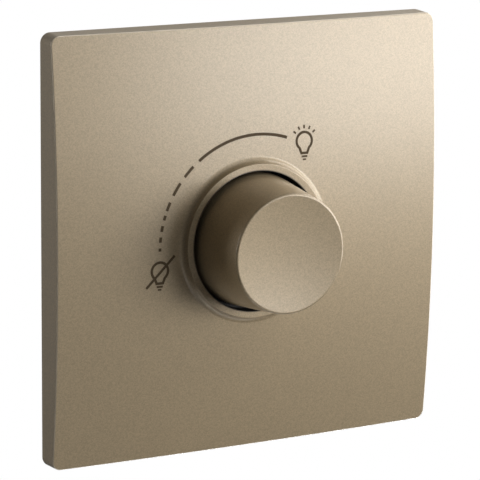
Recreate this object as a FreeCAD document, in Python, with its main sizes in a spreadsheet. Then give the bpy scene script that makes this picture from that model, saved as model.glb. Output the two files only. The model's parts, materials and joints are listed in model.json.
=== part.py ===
# Rotary dimmer switch for a one-gang wall box, as a parametric document.
# X runs to the right as the switch is seen, Y into the wall and Z up, all in millimetres.
# The origin is where the knob's axis meets the wall. A level is a distance ahead of the wall,
# towards the viewer, so what stands behind the wall has a negative level.
import FreeCAD
import Part
import math
import os
from types import SimpleNamespace

import Sketcher

SIZES = {
    # Face plate
    "plate_side": 86.0,
    "plate_corner": 2.0,
    "plate_taper": 2.6,
    "plate_crown": 7.71,
    "plate_wall": 1.8,
    "plate_inner_corner": 1.0,
    "plate_edge_round": 0.22,
    "dome_tall_radius": 390.0,
    "dome_wide_radius": 885.0,
    "dome_sweep": 10.0,
    # Collar round the knob, and the well behind it
    "well_radius": 14.19,
    "collar_width": 1.4,
    "collar_rise": 1.07,
    "collar_flare": 0.5,
    "collar_cove": 1.25,
    "collar_edge_round": 0.2,
    "well_floor": 1.6,
    "well_nut_gap": 0.4,
    "well_bush_gap": 0.6,
    # Snap hooks and seat ribs inside the plate
    "hook_x": 22.0,
    "hook_z": 34.0,
    "hook_width": 5.0,
    "hook_stem": 1.2,
    "hook_barb": 0.9,
    "hook_tip": 0.6,
    "hook_play": 0.15,
    "hook_slot_gap": 0.3,
    "seat_rib_x": 36.0,
    "seat_rib_width": 1.2,
    "seat_rib_length": 20.0,
    # Support frame
    "frame_gap": 0.4,
    "frame_depth": 2.3,
    "frame_web": 1.5,
    "frame_rim": 3.0,
    "frame_corner": 2.0,
    "frame_opening": 36.0,
    "frame_opening_corner": 4.0,
    "box_screw_spacing": 60.3,
    "box_slot_width": 4.0,
    "box_slot_length": 7.0,
    "box_pad_margin": 2.5,
    "box_pad_gap": 0.35,
    # Heat sink
    "sink_thickness": 1.5,
    "sink_corner": 1.5,
    "sink_gap": 0.3,
    "flange_width": 20.0,
    "flange_depth": 11.0,
    "flange_bend": 0.8,
    # Rear housing
    "housing_width": 49.0,
    "housing_height": 50.0,
    "housing_depth": 28.0,
    "housing_wall": 1.6,
    "housing_corner": 3.0,
    "housing_round": 1.2,
    "boss_radius": 3.0,
    "boss_inset": 3.2,
    "pilot_depth": 12.0,
    "ledge_width": 1.6,
    "ledge_length": 22.0,
    "divider_width": 1.2,
    "divider_gap": 0.5,
    "vent_count": 6,
    "vent_width": 1.4,
    "vent_length": 14.0,
    "vent_pitch": 3.4,
    "vent_z": 8.0,
    # Screws that clamp frame, heat sink and housing
    "screw_radius": 1.45,
    "screw_length": 12.0,
    "screw_head_radius": 2.6,
    "screw_head": 1.8,
    "screw_slot_width": 0.7,
    "screw_slot_depth": 0.8,
    "screw_hole_gap": 0.15,
    "thread_gap": 0.03,
    # Circuit board
    "board_room": 9.8,
    "board_thickness": 1.6,
    "board_gap": 0.4,
    # Potentiometer
    "pot_radius": 8.2,
    "pot_flange": 1.2,
    "bush_radius": 3.5,
    "bush_proud": 0.4,
    "washer_radius": 6.0,
    "washer_thickness": 0.4,
    "nut_flats": 10.0,
    "nut_thickness": 2.0,
    "wafer_thickness": 1.2,
    "tongue_width": 13.0,
    "tongue_length": 5.0,
    "tag_pitch": 5.0,
    "tag_width": 1.2,
    "tag_thickness": 0.5,
    "can_wall": 0.5,
    "can_depth": 5.9,
    "socket_depth": 3.0,
    # Turning parts of the potentiometer
    "shaft_radius": 3.0,
    "shaft_play": 0.05,
    "shaft_clear": 0.4,
    "shaft_end_gap": 0.5,
    "shaft_chamfer": 0.5,
    "shaft_flat": 1.5,
    "shaft_flat_runout": 0.4,
    "clip_groove": 0.5,
    "clip_thickness": 0.5,
    "clip_radius": 4.4,
    "clip_mouth": 3.0,
    "clip_gap": 0.1,
    "carrier_radius": 6.1,
    "carrier_thickness": 2.0,
    "carrier_setback": 1.9,
    "turn_range": 300.0,
    "stop_direction": -90.0,
    "stop_play": 2.0,
    "stop_reach": 1.2,
    "lug_angle": 20.0,
    "lug_reach": 1.2,
    "contact_thickness": 0.25,
    "contact_radius": 5.6,
    "contact_finger": 0.5,
    "contact_gap": 0.15,
    # Knob
    "knob_front": 22.05,
    "knob_rim_radius": 11.95,
    "knob_rim_round": 0.4,
    "knob_dish": 0.5,
    "dish_sweep": 20.0,
    "knob_gap": 0.55,
    "knob_floor_gap": 1.0,
    "knob_wall": 1.8,
    "knob_cap": 2.6,
    "knob_boss_radius": 5.0,
    "knob_boss_gap": 0.8,
    "knob_rib_count": 6,
    "knob_rib_width": 1.2,
    "knob_rib_depth": 8.0,
    "knob_bore_gap": 0.2,
    # Triac on the heat sink's flange
    "triac_width": 10.0,
    "triac_setback": 0.3,
    "triac_tab": 1.3,
    "triac_tab_length": 5.0,
    "triac_body": 4.5,
    "triac_lead": 0.7,
    "triac_lead_pitch": 2.5,
    "triac_lead_width": 0.8,
    "triac_lead_thickness": 0.6,
    "triac_screw_setback": 2.6,
    "triac_head_radius": 2.2,
    "triac_head": 1.6,
    # Parts on the circuit board
    "choke_ledge_gap": 1.45,
    "choke_top_gap": 6.05,
    "choke_outer": 8.5,
    "choke_inner": 5.0,
    "choke_height": 7.0,
    "winding": 0.8,
    "winding_gap": 0.05,
    "winding_sweep": 300.0,
    "film_side_inset": 13.0,
    "film_top_inset": 14.0,
    "film_width": 9.0,
    "film_length": 18.0,
    "film_height": 9.0,
    "film_round": 0.8,
    "timing_side_inset": 8.0,
    "timing_top_inset": 10.0,
    "timing_width": 4.0,
    "timing_length": 5.0,
    "timing_height": 6.0,
    "timing_round": 0.5,
    "fuse_side_inset": 7.0,
    "fuse_radius": 2.6,
    "fuse_glass_inset": 0.15,
    "fuse_length": 20.0,
    "fuse_cap": 5.0,
    "fuse_clip_wall": 0.5,
    "fuse_clip_length": 4.0,
    "fuse_lift": 0.2,
    "resistor_count": 3,
    "resistor_side_inset": 3.0,
    "resistor_z": -2.0,
    "resistor_pitch": 3.5,
    "resistor_radius": 1.25,
    "resistor_length": 6.5,
    "diode_side_inset": 8.5,
    "diode_low_inset": 10.0,
    "diode_radius": 0.9,
    "diode_length": 4.0,
    "lead_radius": 0.3,
    "lead_reach": 2.0,
    # Mains terminals
    "clamp_count": 3,
    "clamp_boss_gap": 1.0,
    "clamp_wall_gap": 1.2,
    "clamp_width": 7.5,
    "clamp_height": 7.0,
    "clamp_depth": 8.6,
    "clamp_window": 4.2,
    "clamp_floor": 1.8,
    "wire_entry": 3.8,
    "terminal_radius": 1.5,
    "terminal_length": 5.0,
    "terminal_head_radius": 2.6,
    "terminal_head": 2.0,
    "terminal_hole_gap": 0.3,
}

DOC = FreeCAD.newDocument("rotary_dimmer_switch")
SHEET = DOC.addObject("Spreadsheet::Sheet", "Sizes")
PIECES = []
# How near an edge lies to a level or radius that picks it out
CLOSE = 0.01


class Size:
    """A size that carries its number and the sheet expression that gives it."""

    def __init__(self, number, text):
        self.number = number
        self.text = text

    def __add__(self, other):
        other = as_size(other)
        return Size(self.number + other.number, f"({self.text} + {other.text})")

    def __sub__(self, other):
        other = as_size(other)
        return Size(self.number - other.number, f"({self.text} - {other.text})")

    def __mul__(self, other):
        other = as_size(other)
        return Size(self.number * other.number, f"{self.text} * {other.text}")

    def __truediv__(self, other):
        other = as_size(other)
        return Size(self.number / other.number, f"{self.text} / ({other.text})")

    def __neg__(self):
        return Size(-self.number, f"(0 - {self.text})")


def as_size(value):
    """Give a plain number the form of a size."""
    return value if isinstance(value, Size) else Size(value, f"{value}")


def in_order(one, other):
    """Two sizes, the lower first."""
    return (one, other) if one.number < other.number else (other, one)


def root(size):
    """The square root of a size."""
    return Size(math.sqrt(size.number), f"sqrt({size.text})")


def polar(radius, degrees):
    """The two coordinates of a point at a radius and an angle."""
    across = Size(math.cos(math.radians(degrees.number)), f"cos({degrees.text})")
    along = Size(math.sin(math.radians(degrees.number)), f"sin({degrees.text})")
    return across * radius, along * radius


def fill_sheet():
    """Write every size to its own cell and return them by name."""
    for row, (alias, number) in enumerate(SIZES.items(), start=1):
        SHEET.set(f"A{row}", alias)
        SHEET.set(f"B{row}", str(number))
        SHEET.setAlias(f"B{row}", alias)
    DOC.recompute()
    return SimpleNamespace(**{alias: Size(number, f"Sizes.{alias}") for alias, number in SIZES.items()})


def bind(obj, path, size):
    """Bind one property of an object to the sheet."""
    obj.setExpression(path, as_size(size).text)


# Sketches and features


def new_body(label, is_piece=True):
    """Start a body, which is a piece of the switch unless it only shapes another."""
    body = DOC.addObject("PartDesign::Body", label)
    body.Label = label
    if is_piece:
        PIECES.append(body)
    return body


def origin_of(body, role):
    """One of a body's own origin planes or axes."""
    return next(item for item in body.Origin.OriginFeatures if item.Role == role)


def sketch_on(body, role, offset=0):
    """Start a sketch on an origin plane, moved along the plane's normal by an offset."""
    sketch = body.newObject("Sketcher::SketchObject", f"{body.Label}_sketch")
    sketch.AttachmentSupport = [(origin_of(body, role), "")]
    sketch.MapMode = "FlatFace"
    bind(sketch, "AttachmentOffset.Base.z", offset)
    return sketch


def face_sketch(body, level):
    """A sketch parallel to the wall at a level: X across, Z up, facing the viewer."""
    return sketch_on(body, "XZ_Plane", level)


def fix_coordinate(sketch, curve, end, kind, value):
    """Tie one coordinate of a point on a curve, DistanceX or DistanceY, to a size."""
    size = as_size(value)
    if size.number == 0:
        axis = -2 if kind == "DistanceX" else -1
        sketch.addConstraint(Sketcher.Constraint("PointOnObject", curve, end, axis))
        return
    if size.number > 0:
        rule = Sketcher.Constraint(kind, -1, 1, curve, end, size.number)
    else:
        size = -size
        rule = Sketcher.Constraint(kind, curve, end, -1, 1, size.number)
    bind(sketch, f"Constraints[{sketch.addConstraint(rule)}]", size)


def fix_point(sketch, curve, end, u, v):
    """Tie both coordinates of a point on a curve."""
    fix_coordinate(sketch, curve, end, "DistanceX", u)
    fix_coordinate(sketch, curve, end, "DistanceY", v)


def point(u, v):
    """A sketch point from two sizes."""
    return FreeCAD.Vector(as_size(u).number, as_size(v).number, 0)


def arc_about(centre, start, end, clockwise):
    """A sketch arc about a centre, from one point to another."""
    first, last = (end, start) if clockwise else (start, end)
    angles = [math.atan2(place.y - centre.y, place.x - centre.x) for place in (first, last)]
    radius = (start - centre).Length
    return Part.ArcOfCircle(Part.Circle(centre, FreeCAD.Vector(0, 0, 1), radius), *angles)


def outline(sketch, corners):
    """Draw a closed outline.

    A corner is (u, v), with a straight side to the next one, or (u, v, centre_u, centre_v, turn) with
    an arc to it about that centre. The turn is "left" or "right", seen along the outline.
    """
    first = sketch.GeometryCount
    starts = []
    ends = []
    for index, corner in enumerate(corners):
        following = corners[(index + 1) % len(corners)]
        start = point(*corner[:2])
        end = point(*following[:2])
        clockwise = len(corner) > 2 and corner[4] == "right"
        if len(corner) > 2:
            sketch.addGeometry(arc_about(point(*corner[2:4]), start, end, clockwise))
            chord = end - start
            upright = abs(chord.y) >= abs(chord.x)
            kind, centre = ("DistanceX", corner[2]) if upright else ("DistanceY", corner[3])
            fix_coordinate(sketch, first + index, 3, kind, centre)
        else:
            sketch.addGeometry(Part.LineSegment(start, end))
        starts.append(2 if clockwise else 1)
        ends.append(1 if clockwise else 2)
    for index, corner in enumerate(corners):
        following = (index + 1) % len(corners)
        meeting = (first + index, ends[index], first + following, starts[following])
        sketch.addConstraint(Sketcher.Constraint("Coincident", *meeting))
        fix_point(sketch, first + index, starts[index], *corner[:2])


def rectangle(sketch, u0, v0, u1, v1):
    """Draw a rectangle from its lowest to its highest corner."""
    outline(sketch, [(u0, v0), (u1, v0), (u1, v1), (u0, v1)])


def rounded_rectangle(sketch, half_u, half_v, corner):
    """Draw a rectangle with round corners about the sketch's origin."""
    short_u = half_u - corner
    short_v = half_v - corner
    outline(
        sketch,
        [
            (-short_u, -half_v),
            (short_u, -half_v, short_u, -short_v, "left"),
            (half_u, -short_v),
            (half_u, short_v, short_u, short_v, "left"),
            (short_u, half_v),
            (-short_u, half_v, -short_u, short_v, "left"),
            (-half_u, short_v),
            (-half_u, -short_v, -short_u, -short_v, "left"),
        ],
    )


def long_slot(sketch, u, v, half_length, half_width):
    """Draw a slot with round ends that runs along u."""
    v = as_size(v)
    straight = half_length - half_width
    outline(
        sketch,
        [
            (u - straight, v - half_width),
            (u + straight, v - half_width, u + straight, v, "left"),
            (u + straight, v + half_width),
            (u - straight, v + half_width, u - straight, v, "left"),
        ],
    )


def circle(sketch, u, v, radius):
    """Draw a circle."""
    curve = sketch.addGeometry(Part.Circle(point(u, v), FreeCAD.Vector(0, 0, 1), radius.number))
    fix_point(sketch, curve, 3, u, v)
    index = sketch.addConstraint(Sketcher.Constraint("Radius", curve, radius.number))
    bind(sketch, f"Constraints[{index}]", radius)


def ring_sector(sketch, inner, outer, direction, sweep):
    """Draw a sector of a ring about the origin, centred on a direction."""
    low = direction - sweep / 2
    high = direction + sweep / 2
    outline(
        sketch,
        [
            polar(inner, low),
            (*polar(outer, low), 0, 0, "left"),
            polar(outer, high),
            (*polar(inner, high), 0, 0, "right"),
        ],
    )


def axis_line(sketch, u):
    """Draw a line parallel to v that a profile is turned about."""
    line = sketch.addGeometry(Part.LineSegment(point(u, -1), point(u, 1)), True)
    fix_point(sketch, line, 1, u, -1)
    fix_point(sketch, line, 2, u, 1)
    return (sketch, ["Axis0"])


def pad(body, sketch, length, backwards=False):
    """Add a sketch's outline along its normal, or against it."""
    feature = body.newObject("PartDesign::Pad", f"{body.Label}_pad")
    feature.Profile = sketch
    feature.Reversed = backwards
    bind(feature, "Length", length)
    return feature


def pocket(body, sketch, depth=None, forwards=False):
    """Cut a sketch's outline against its normal, or along it, to a depth or right through."""
    feature = body.newObject("PartDesign::Pocket", f"{body.Label}_pocket")
    feature.Profile = sketch
    feature.Reversed = forwards
    if depth is None:
        feature.Type = "ThroughAll"
    else:
        bind(feature, "Length", depth)
    return feature


def revolve(body, sketch, axis=None, sweep=360):
    """Turn a sketch's outline about its own vertical axis or another."""
    feature = body.newObject("PartDesign::Revolution", f"{body.Label}_revolution")
    feature.Profile = sketch
    feature.ReferenceAxis = axis or (sketch, ["V_Axis"])
    bind(feature, "Angle", sweep)
    return feature


def turned(body, corners):
    """Turn a profile of (radius, level) corners about the knob's axis."""
    sketch = sketch_on(body, "XY_Plane")
    outline(sketch, [(radius, -as_size(level), *arc) for radius, level, *arc in corners])
    return revolve(body, sketch)


def sweep_cut(body, sketch, axis_place, sweep):
    """Cut a sketch's outline swung both ways about a line beside it, parallel to v."""
    feature = body.newObject("PartDesign::Groove", f"{body.Label}_groove")
    feature.Profile = sketch
    feature.ReferenceAxis = axis_line(sketch, axis_place)
    feature.Midplane = True
    bind(feature, "Angle", sweep)
    return feature


def mirrored(body, feature, role):
    """Repeat a feature on the other side of an origin plane."""
    copy = body.newObject("PartDesign::Mirrored", f"{body.Label}_mirror")
    copy.Originals = [feature]
    copy.MirrorPlane = (origin_of(body, role), [""])
    body.Tip = copy
    return copy


def fillet(body, radius, chosen):
    """Round the edges of the body so far that a test picks."""
    DOC.recompute()
    base = body.Tip
    names = [f"Edge{i}" for i, edge in enumerate(base.Shape.Edges, start=1) if chosen(edge)]
    feature = body.newObject("PartDesign::Fillet", f"{body.Label}_fillet")
    feature.Base = (base, names)
    bind(feature, "Radius", radius)
    return feature


def points_on(edge):
    """Some points along an edge, with its ends, or the one point of an edge with no length."""
    return [edge.Vertexes[0].Point] if edge.Degenerated else edge.discretize(9)


def at_level(edge, low, high):
    """Whether a whole edge lies between two levels."""
    return all(low <= -place.y <= high for place in points_on(edge))


def at_radius(edge, low, high):
    """Whether a whole edge lies between two radii round the knob's axis."""
    return all(low <= math.hypot(place.x, place.z) <= high for place in points_on(edge))


# Simple solids


def block(label, low, high):
    """A box between its lowest corner and its highest."""
    box = DOC.addObject("Part::Box", label)
    for size_name, place, start, end in zip(("Length", "Width", "Height"), "xyz", low, high):
        bind(box, size_name, as_size(end) - start)
        bind(box, f"Placement.Base.{place}", start)
    return box


def rod(label, direction, start, length, radius):
    """A cylinder from a start point along Y or Z."""
    cylinder = DOC.addObject("Part::Cylinder", label)
    bind(cylinder, "Radius", radius)
    bind(cylinder, "Height", length)
    turn = FreeCAD.Rotation(FreeCAD.Vector(1, 0, 0), -90 if direction == "y" else 0)
    cylinder.Placement = FreeCAD.Placement(FreeCAD.Vector(), turn)
    for place, value in zip("xyz", start):
        bind(cylinder, f"Placement.Base.{place}", value)
    return cylinder


def joined(label, solids):
    """One solid made of several that meet."""
    union = DOC.addObject("Part::MultiFuse", label)
    union.Shapes = solids
    return union


def cut_from(label, base, tool):
    """What is left of a solid when another is taken away."""
    difference = DOC.addObject("Part::Cut", label)
    difference.Base = base
    difference.Tool = tool
    return difference


def group(label, solids):
    """Like pieces that share one node."""
    compound = DOC.addObject("Part::Compound", label)
    compound.Links = solids
    PIECES.append(compound)
    return compound


def single(solid):
    """Take a simple solid as a piece of its own."""
    PIECES.append(solid)
    return solid


s = fill_sheet()

# Levels and places that several pieces share
web_back = s.frame_depth - s.frame_web
sink_front = web_back
sink_back = web_back - s.sink_thickness
nut_front = sink_front + s.washer_thickness + s.nut_thickness
floor_back = nut_front + s.well_nut_gap
floor_front = floor_back + s.well_floor
collar_top = s.plate_crown + s.collar_rise
collar_radius = s.well_radius + s.collar_width
bush_front = floor_front + s.bush_proud
clip_back = bush_front + s.clip_gap
clip_front = clip_back + s.clip_thickness
shaft_front = s.knob_front - s.knob_dish - s.knob_cap
boss_end = clip_front + s.knob_boss_gap
wafer_front = sink_back - s.pot_flange
wafer_back = wafer_front - s.wafer_thickness
can_back = wafer_back - s.can_depth
carrier_front = wafer_back - s.carrier_setback
housing_back = -s.housing_depth
housing_floor = housing_back + s.housing_wall
cavity_half_width = s.housing_width / 2 - s.housing_wall
cavity_half_height = s.housing_height / 2 - s.housing_wall
board_back = housing_floor + s.board_room
board_front = board_back + s.board_thickness
board_half_width = cavity_half_width - s.board_gap
board_half_height = cavity_half_height - s.board_gap
boss_x = cavity_half_width - s.boss_inset
boss_z = cavity_half_height - s.boss_inset
screw_hole = s.screw_radius + s.screw_hole_gap
sink_half_width = cavity_half_width - s.sink_gap
sink_half_height = cavity_half_height - s.sink_gap
flange_under = sink_half_height - s.sink_thickness
triac_front = sink_back - s.flange_bend - s.triac_setback
fuse_x = s.fuse_side_inset - board_half_width
winding_shell = s.winding + s.winding_gap
choke_reach = s.choke_outer + winding_shell
choke_x = choke_reach + s.choke_ledge_gap + s.ledge_width - cavity_half_width
choke_z = cavity_half_height - s.choke_top_gap - choke_reach
clamp_z = s.clamp_height / 2 + s.clamp_wall_gap - cavity_half_height
clamp_back = board_back - s.clamp_depth
wire_level = board_back - s.clamp_floor - s.clamp_window / 2
lug_direction = s.stop_direction - (as_size(180) - s.turn_range / 2)
stop_angle = as_size(360) - s.turn_range - s.lug_angle - s.stop_play * 2


def corner_signs():
    """The four quarters of the plate."""
    return [(x, z) for x in (-1, 1) for z in (-1, 1)]


def inside_wall(x, z):
    """The level half-way through the plate's domed wall at a place."""
    fall = x * x / (s.dome_wide_radius * 2) + z * z / (s.dome_tall_radius * 2)
    return s.plate_crown - fall - s.plate_wall / 2


def clamp_places():
    """The X of each terminal, spread evenly between the housing's lower bosses."""
    last = int(s.clamp_count.number) - 1
    reach = boss_x - s.boss_radius - s.clamp_boss_gap - s.clamp_width / 2
    return [reach * (index * 2 / last - 1) for index in range(last + 1)]


def domed_block(label, half_side, corner, crown, tall_radius, is_piece):
    """A square block with drafted sides and a front that is domed both ways."""
    body = new_body(label, is_piece)
    square = face_sketch(body, 0)
    rounded_rectangle(square, half_side, half_side, corner)
    tapered = pad(body, square, collar_top)
    bind(tapered, "TaperAngle", -s.plate_taper)
    profile = sketch_on(body, "YZ_Plane")
    reach = s.plate_side / 2 + collar_top
    sag = tall_radius - root(tall_radius * tall_radius - reach * reach)
    outline(
        profile,
        [
            (sag - crown, -reach, tall_radius - crown, 0, "right"),
            (sag - crown, reach),
            (-collar_top * 2, reach),
            (-collar_top * 2, -reach),
        ],
    )
    sweep_cut(body, profile, s.dome_wide_radius - s.plate_crown, s.dome_sweep)
    return body


def front_plate():
    """The moulded cover: domed shell, collar and well, snap hooks and seat ribs."""
    half = s.plate_side / 2
    core = domed_block(
        "plate_core",
        half - s.plate_wall,
        s.plate_inner_corner,
        s.plate_crown - s.plate_wall,
        s.dome_tall_radius - s.plate_wall,
        False,
    )
    body = domed_block("front_plate", half, s.plate_corner, s.plate_crown, s.dome_tall_radius, True)
    fillet(body, s.plate_edge_round, lambda edge: at_level(edge, s.frame_depth.number, s.plate_crown.number))
    hollow = body.newObject("PartDesign::Boolean", "plate_hollow")
    hollow.Type = "Cut"
    hollow.setObjects([core])
    hole = face_sketch(body, collar_top)
    circle(hole, 0, 0, s.well_radius)
    pocket(body, hole)
    collar_foot = s.plate_crown - s.plate_wall / 2
    bush_hole = s.bush_radius + s.well_bush_gap
    turned(
        body,
        [
            (s.well_radius, collar_top),
            (s.well_radius, floor_front),
            (bush_hole, floor_front),
            (bush_hole, floor_back),
            (collar_radius, floor_back),
            (collar_radius, collar_foot),
            (collar_radius + s.collar_flare, collar_foot),
            (collar_radius, collar_top),
        ],
    )
    foot_radius = collar_radius + s.collar_flare
    fillet(
        body,
        s.collar_cove,
        lambda edge: at_radius(edge, collar_radius.number, foot_radius.number)
        and at_level(edge, collar_foot.number, s.plate_crown.number),
    )
    fillet(
        body,
        s.collar_edge_round,
        lambda edge: at_radius(edge, collar_radius.number - CLOSE, collar_radius.number + CLOSE)
        and at_level(edge, collar_top.number - CLOSE, collar_top.number + CLOSE),
    )
    for x, z in corner_signs():
        snap_hook(body, x, z)
    for x in (-1, 1):
        rib = face_sketch(body, s.frame_depth)
        low, high = in_order(s.seat_rib_x * x, (s.seat_rib_x + s.seat_rib_width) * x)
        rectangle(rib, low, -s.seat_rib_length / 2, high, s.seat_rib_length / 2)
        root_level = inside_wall(s.seat_rib_x + s.seat_rib_width, s.seat_rib_length / 2)
        pad(body, rib, root_level - s.frame_depth)


def snap_hook(body, x, z):
    """One barbed hook that drops through the frame's web and catches behind it."""
    tip = web_back - s.hook_play - s.hook_tip
    inner = s.hook_z * z
    outer = (s.hook_z + s.hook_stem) * z
    barb = (s.hook_z + s.hook_stem + s.hook_barb) * z
    root_level = inside_wall(s.hook_x + s.hook_width / 2, s.hook_z + s.hook_stem)
    profile = sketch_on(body, "YZ_Plane", s.hook_x * x - s.hook_width / 2)
    outline(
        profile,
        [
            (-root_level, inner),
            (-tip, inner),
            (-tip, outer),
            (-(web_back - s.hook_play), barb),
            (-(web_back - s.hook_play), outer),
            (-root_level, outer),
        ],
    )
    pad(body, profile, s.hook_width)


def support_frame():
    """The frame behind the plate, which the wall-box screws hold."""
    body = new_body("support_frame")
    half = s.plate_side / 2 - s.plate_wall - s.frame_gap
    square = face_sketch(body, 0)
    rounded_rectangle(square, half, half, s.frame_corner)
    pad(body, square, s.frame_depth)
    recess = face_sketch(body, 0)
    rounded_rectangle(recess, half - s.frame_rim, half - s.frame_rim, s.frame_corner)
    pocket(body, recess, web_back, forwards=True)
    slot_half = s.box_slot_length / 2
    slot_radius = s.box_slot_width / 2
    pads = face_sketch(body, 0)
    pad_near = s.housing_width / 2 + s.box_pad_gap
    pad_far = s.box_screw_spacing / 2 + slot_half + s.box_pad_margin
    pad_half = slot_radius + s.box_pad_margin
    holes = face_sketch(body, s.frame_depth)
    for x in (-1, 1):
        long_slot(holes, s.box_screw_spacing / 2 * x, 0, slot_half, slot_radius)
        low, high = in_order(pad_near * x, pad_far * x)
        rectangle(pads, low, -pad_half, high, pad_half)
    pad(body, pads, s.frame_depth)
    rounded_rectangle(holes, s.frame_opening / 2, s.frame_opening / 2, s.frame_opening_corner)
    for x, z in corner_signs():
        circle(holes, boss_x * x, boss_z * z, screw_hole)
        side = s.hook_width / 2 + s.hook_slot_gap
        near = (s.hook_z - s.hook_slot_gap) * z
        far = (s.hook_z + s.hook_stem + s.hook_slot_gap) * z
        low, high = in_order(near, far)
        rectangle(holes, s.hook_x * x - side, low, s.hook_x * x + side, high)
    pocket(body, holes)


def heat_sink():
    """Aluminium plate that carries the control, with a flange folded back for the triac."""
    body = new_body("heat_sink")
    plate = face_sketch(body, sink_back)
    rounded_rectangle(plate, sink_half_width, sink_half_height, s.sink_corner)
    pad(body, plate, s.sink_thickness)
    flange = face_sketch(body, sink_back)
    rectangle(flange, -s.flange_width / 2, flange_under, s.flange_width / 2, sink_half_height)
    pad(body, flange, s.flange_depth, backwards=True)
    fillet(
        body,
        s.flange_bend,
        lambda edge: at_level(edge, sink_back.number - CLOSE, sink_back.number + CLOSE)
        and all(abs(place.z - flange_under.number) < CLOSE for place in points_on(edge)),
    )
    holes = face_sketch(body, sink_front)
    circle(holes, 0, 0, s.bush_radius + s.thread_gap)
    for x, z in corner_signs():
        circle(holes, boss_x * x, boss_z * z, screw_hole)
    pocket(body, holes)
    tapped = sketch_on(body, "XY_Plane", sink_half_height)
    circle(tapped, 0, triac_screw_place(), s.screw_radius + s.thread_gap)
    pocket(body, tapped, s.sink_thickness)


def triac_screw_place():
    """The Y of the triac's screw."""
    return s.triac_screw_setback - triac_front


def rear_housing():
    """The moulded box behind the wall, open to the front."""
    body = new_body("rear_housing")
    outer = face_sketch(body, web_back)
    rounded_rectangle(outer, s.housing_width / 2, s.housing_height / 2, s.housing_corner)
    pad(body, outer, web_back + s.housing_depth, backwards=True)
    fillet(
        body,
        s.housing_round,
        lambda edge: at_level(edge, housing_back.number - CLOSE, housing_back.number + CLOSE),
    )
    cavity = face_sketch(body, web_back)
    inner_corner = s.housing_corner - s.housing_wall
    rounded_rectangle(cavity, cavity_half_width, cavity_half_height, inner_corner)
    pocket(body, cavity, web_back - housing_floor)
    bosses = face_sketch(body, housing_floor)
    pilots = face_sketch(body, sink_back)
    for x, z in corner_signs():
        circle(bosses, boss_x * x, boss_z * z, s.boss_radius)
        circle(pilots, boss_x * x, boss_z * z, s.screw_radius + s.thread_gap)
    pad(body, bosses, sink_back - housing_floor)
    pocket(body, pilots, s.pilot_depth)
    ledges = face_sketch(body, housing_floor)
    for x in (-1, 1):
        wall = (cavity_half_width + s.housing_wall / 2) * x
        inside = (cavity_half_width - s.ledge_width) * x
        low, high = in_order(inside, wall)
        rectangle(ledges, low, -s.ledge_length / 2, high, s.ledge_length / 2)
    pad(body, ledges, board_back - housing_floor)
    places = clamp_places()
    dividers = face_sketch(body, housing_floor)
    for left, right in zip(places, places[1:]):
        middle = (left + right) / 2
        rectangle(
            dividers,
            middle - s.divider_width / 2,
            -cavity_half_height - s.housing_wall / 2,
            middle + s.divider_width / 2,
            clamp_z + s.clamp_height / 2,
        )
    pad(body, dividers, board_back - s.divider_gap - housing_floor)
    entries = sketch_on(body, "XY_Plane", -s.housing_height / 2)
    heads = face_sketch(body, housing_back)
    for place in places:
        half = s.wire_entry / 2
        rectangle(entries, place - half, -wire_level - half, place + half, -wire_level + half)
        circle(heads, place, clamp_z, s.terminal_head_radius + s.terminal_hole_gap)
    pocket(body, entries, s.housing_wall, forwards=True)
    pocket(body, heads, s.housing_wall, forwards=True)
    vents = face_sketch(body, housing_back)
    count = int(s.vent_count.number)
    for index in range(count):
        middle = s.vent_pitch * (index - (count - 1) / 2)
        half_width = s.vent_width / 2
        straight = s.vent_length / 2 - half_width
        outline(
            vents,
            [
                (middle + half_width, s.vent_z - straight),
                (middle + half_width, s.vent_z + straight, middle, s.vent_z + straight, "left"),
                (middle - half_width, s.vent_z + straight),
                (middle - half_width, s.vent_z - straight, middle, s.vent_z - straight, "left"),
            ],
        )
    pocket(body, vents, s.housing_wall, forwards=True)


def slotted_screw(label, x, z, seat, radius, length, head_radius, head, faces_front):
    """A screw along Y with a slotted flat head on its seat's level."""
    way = -1 if faces_front else 1
    head_end = seat + head if faces_front else seat - head
    shank_end = seat - length if faces_front else seat + length
    shank_start, head_start = (-seat, -head_end) if faces_front else (-shank_end, -seat)
    shank = rod(f"{label}_shank", "y", (x, shank_start, z), length, radius)
    cap = rod(f"{label}_head", "y", (x, head_start, z), head, head_radius)
    slot_floor = -head_end - s.screw_slot_depth * way
    low, high = in_order(-head_end, slot_floor)
    slot = block(
        f"{label}_slot",
        (x - head_radius, low, z - s.screw_slot_width / 2),
        (x + head_radius, high, z + s.screw_slot_width / 2),
    )
    return cut_from(label, joined(f"{label}_blank", [shank, cap]), slot)


def housing_screws():
    """Four screws from the frame's front into the housing's bosses."""
    screws = [
        slotted_screw(
            f"housing_screw_{index}",
            boss_x * x,
            boss_z * z,
            s.frame_depth,
            s.screw_radius,
            s.screw_length,
            s.screw_head_radius,
            s.screw_head,
            True,
        )
        for index, (x, z) in enumerate(corner_signs())
    ]
    group("housing_screws", screws)


def circuit_board():
    """The board, notched round the housing's bosses."""
    body = new_body("circuit_board")
    half_x = board_half_width
    half_z = board_half_height
    notch_x = boss_x - s.boss_radius - s.board_gap
    notch_z = boss_z - s.boss_radius - s.board_gap
    shape = face_sketch(body, board_front)
    outline(
        shape,
        [
            (-notch_x, -half_z),
            (notch_x, -half_z),
            (notch_x, -notch_z),
            (half_x, -notch_z),
            (half_x, notch_z),
            (notch_x, notch_z),
            (notch_x, half_z),
            (-notch_x, half_z),
            (-notch_x, notch_z),
            (-half_x, notch_z),
            (-half_x, -notch_z),
            (-notch_x, -notch_z),
        ],
    )
    pad(body, shape, s.board_thickness, backwards=True)


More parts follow.
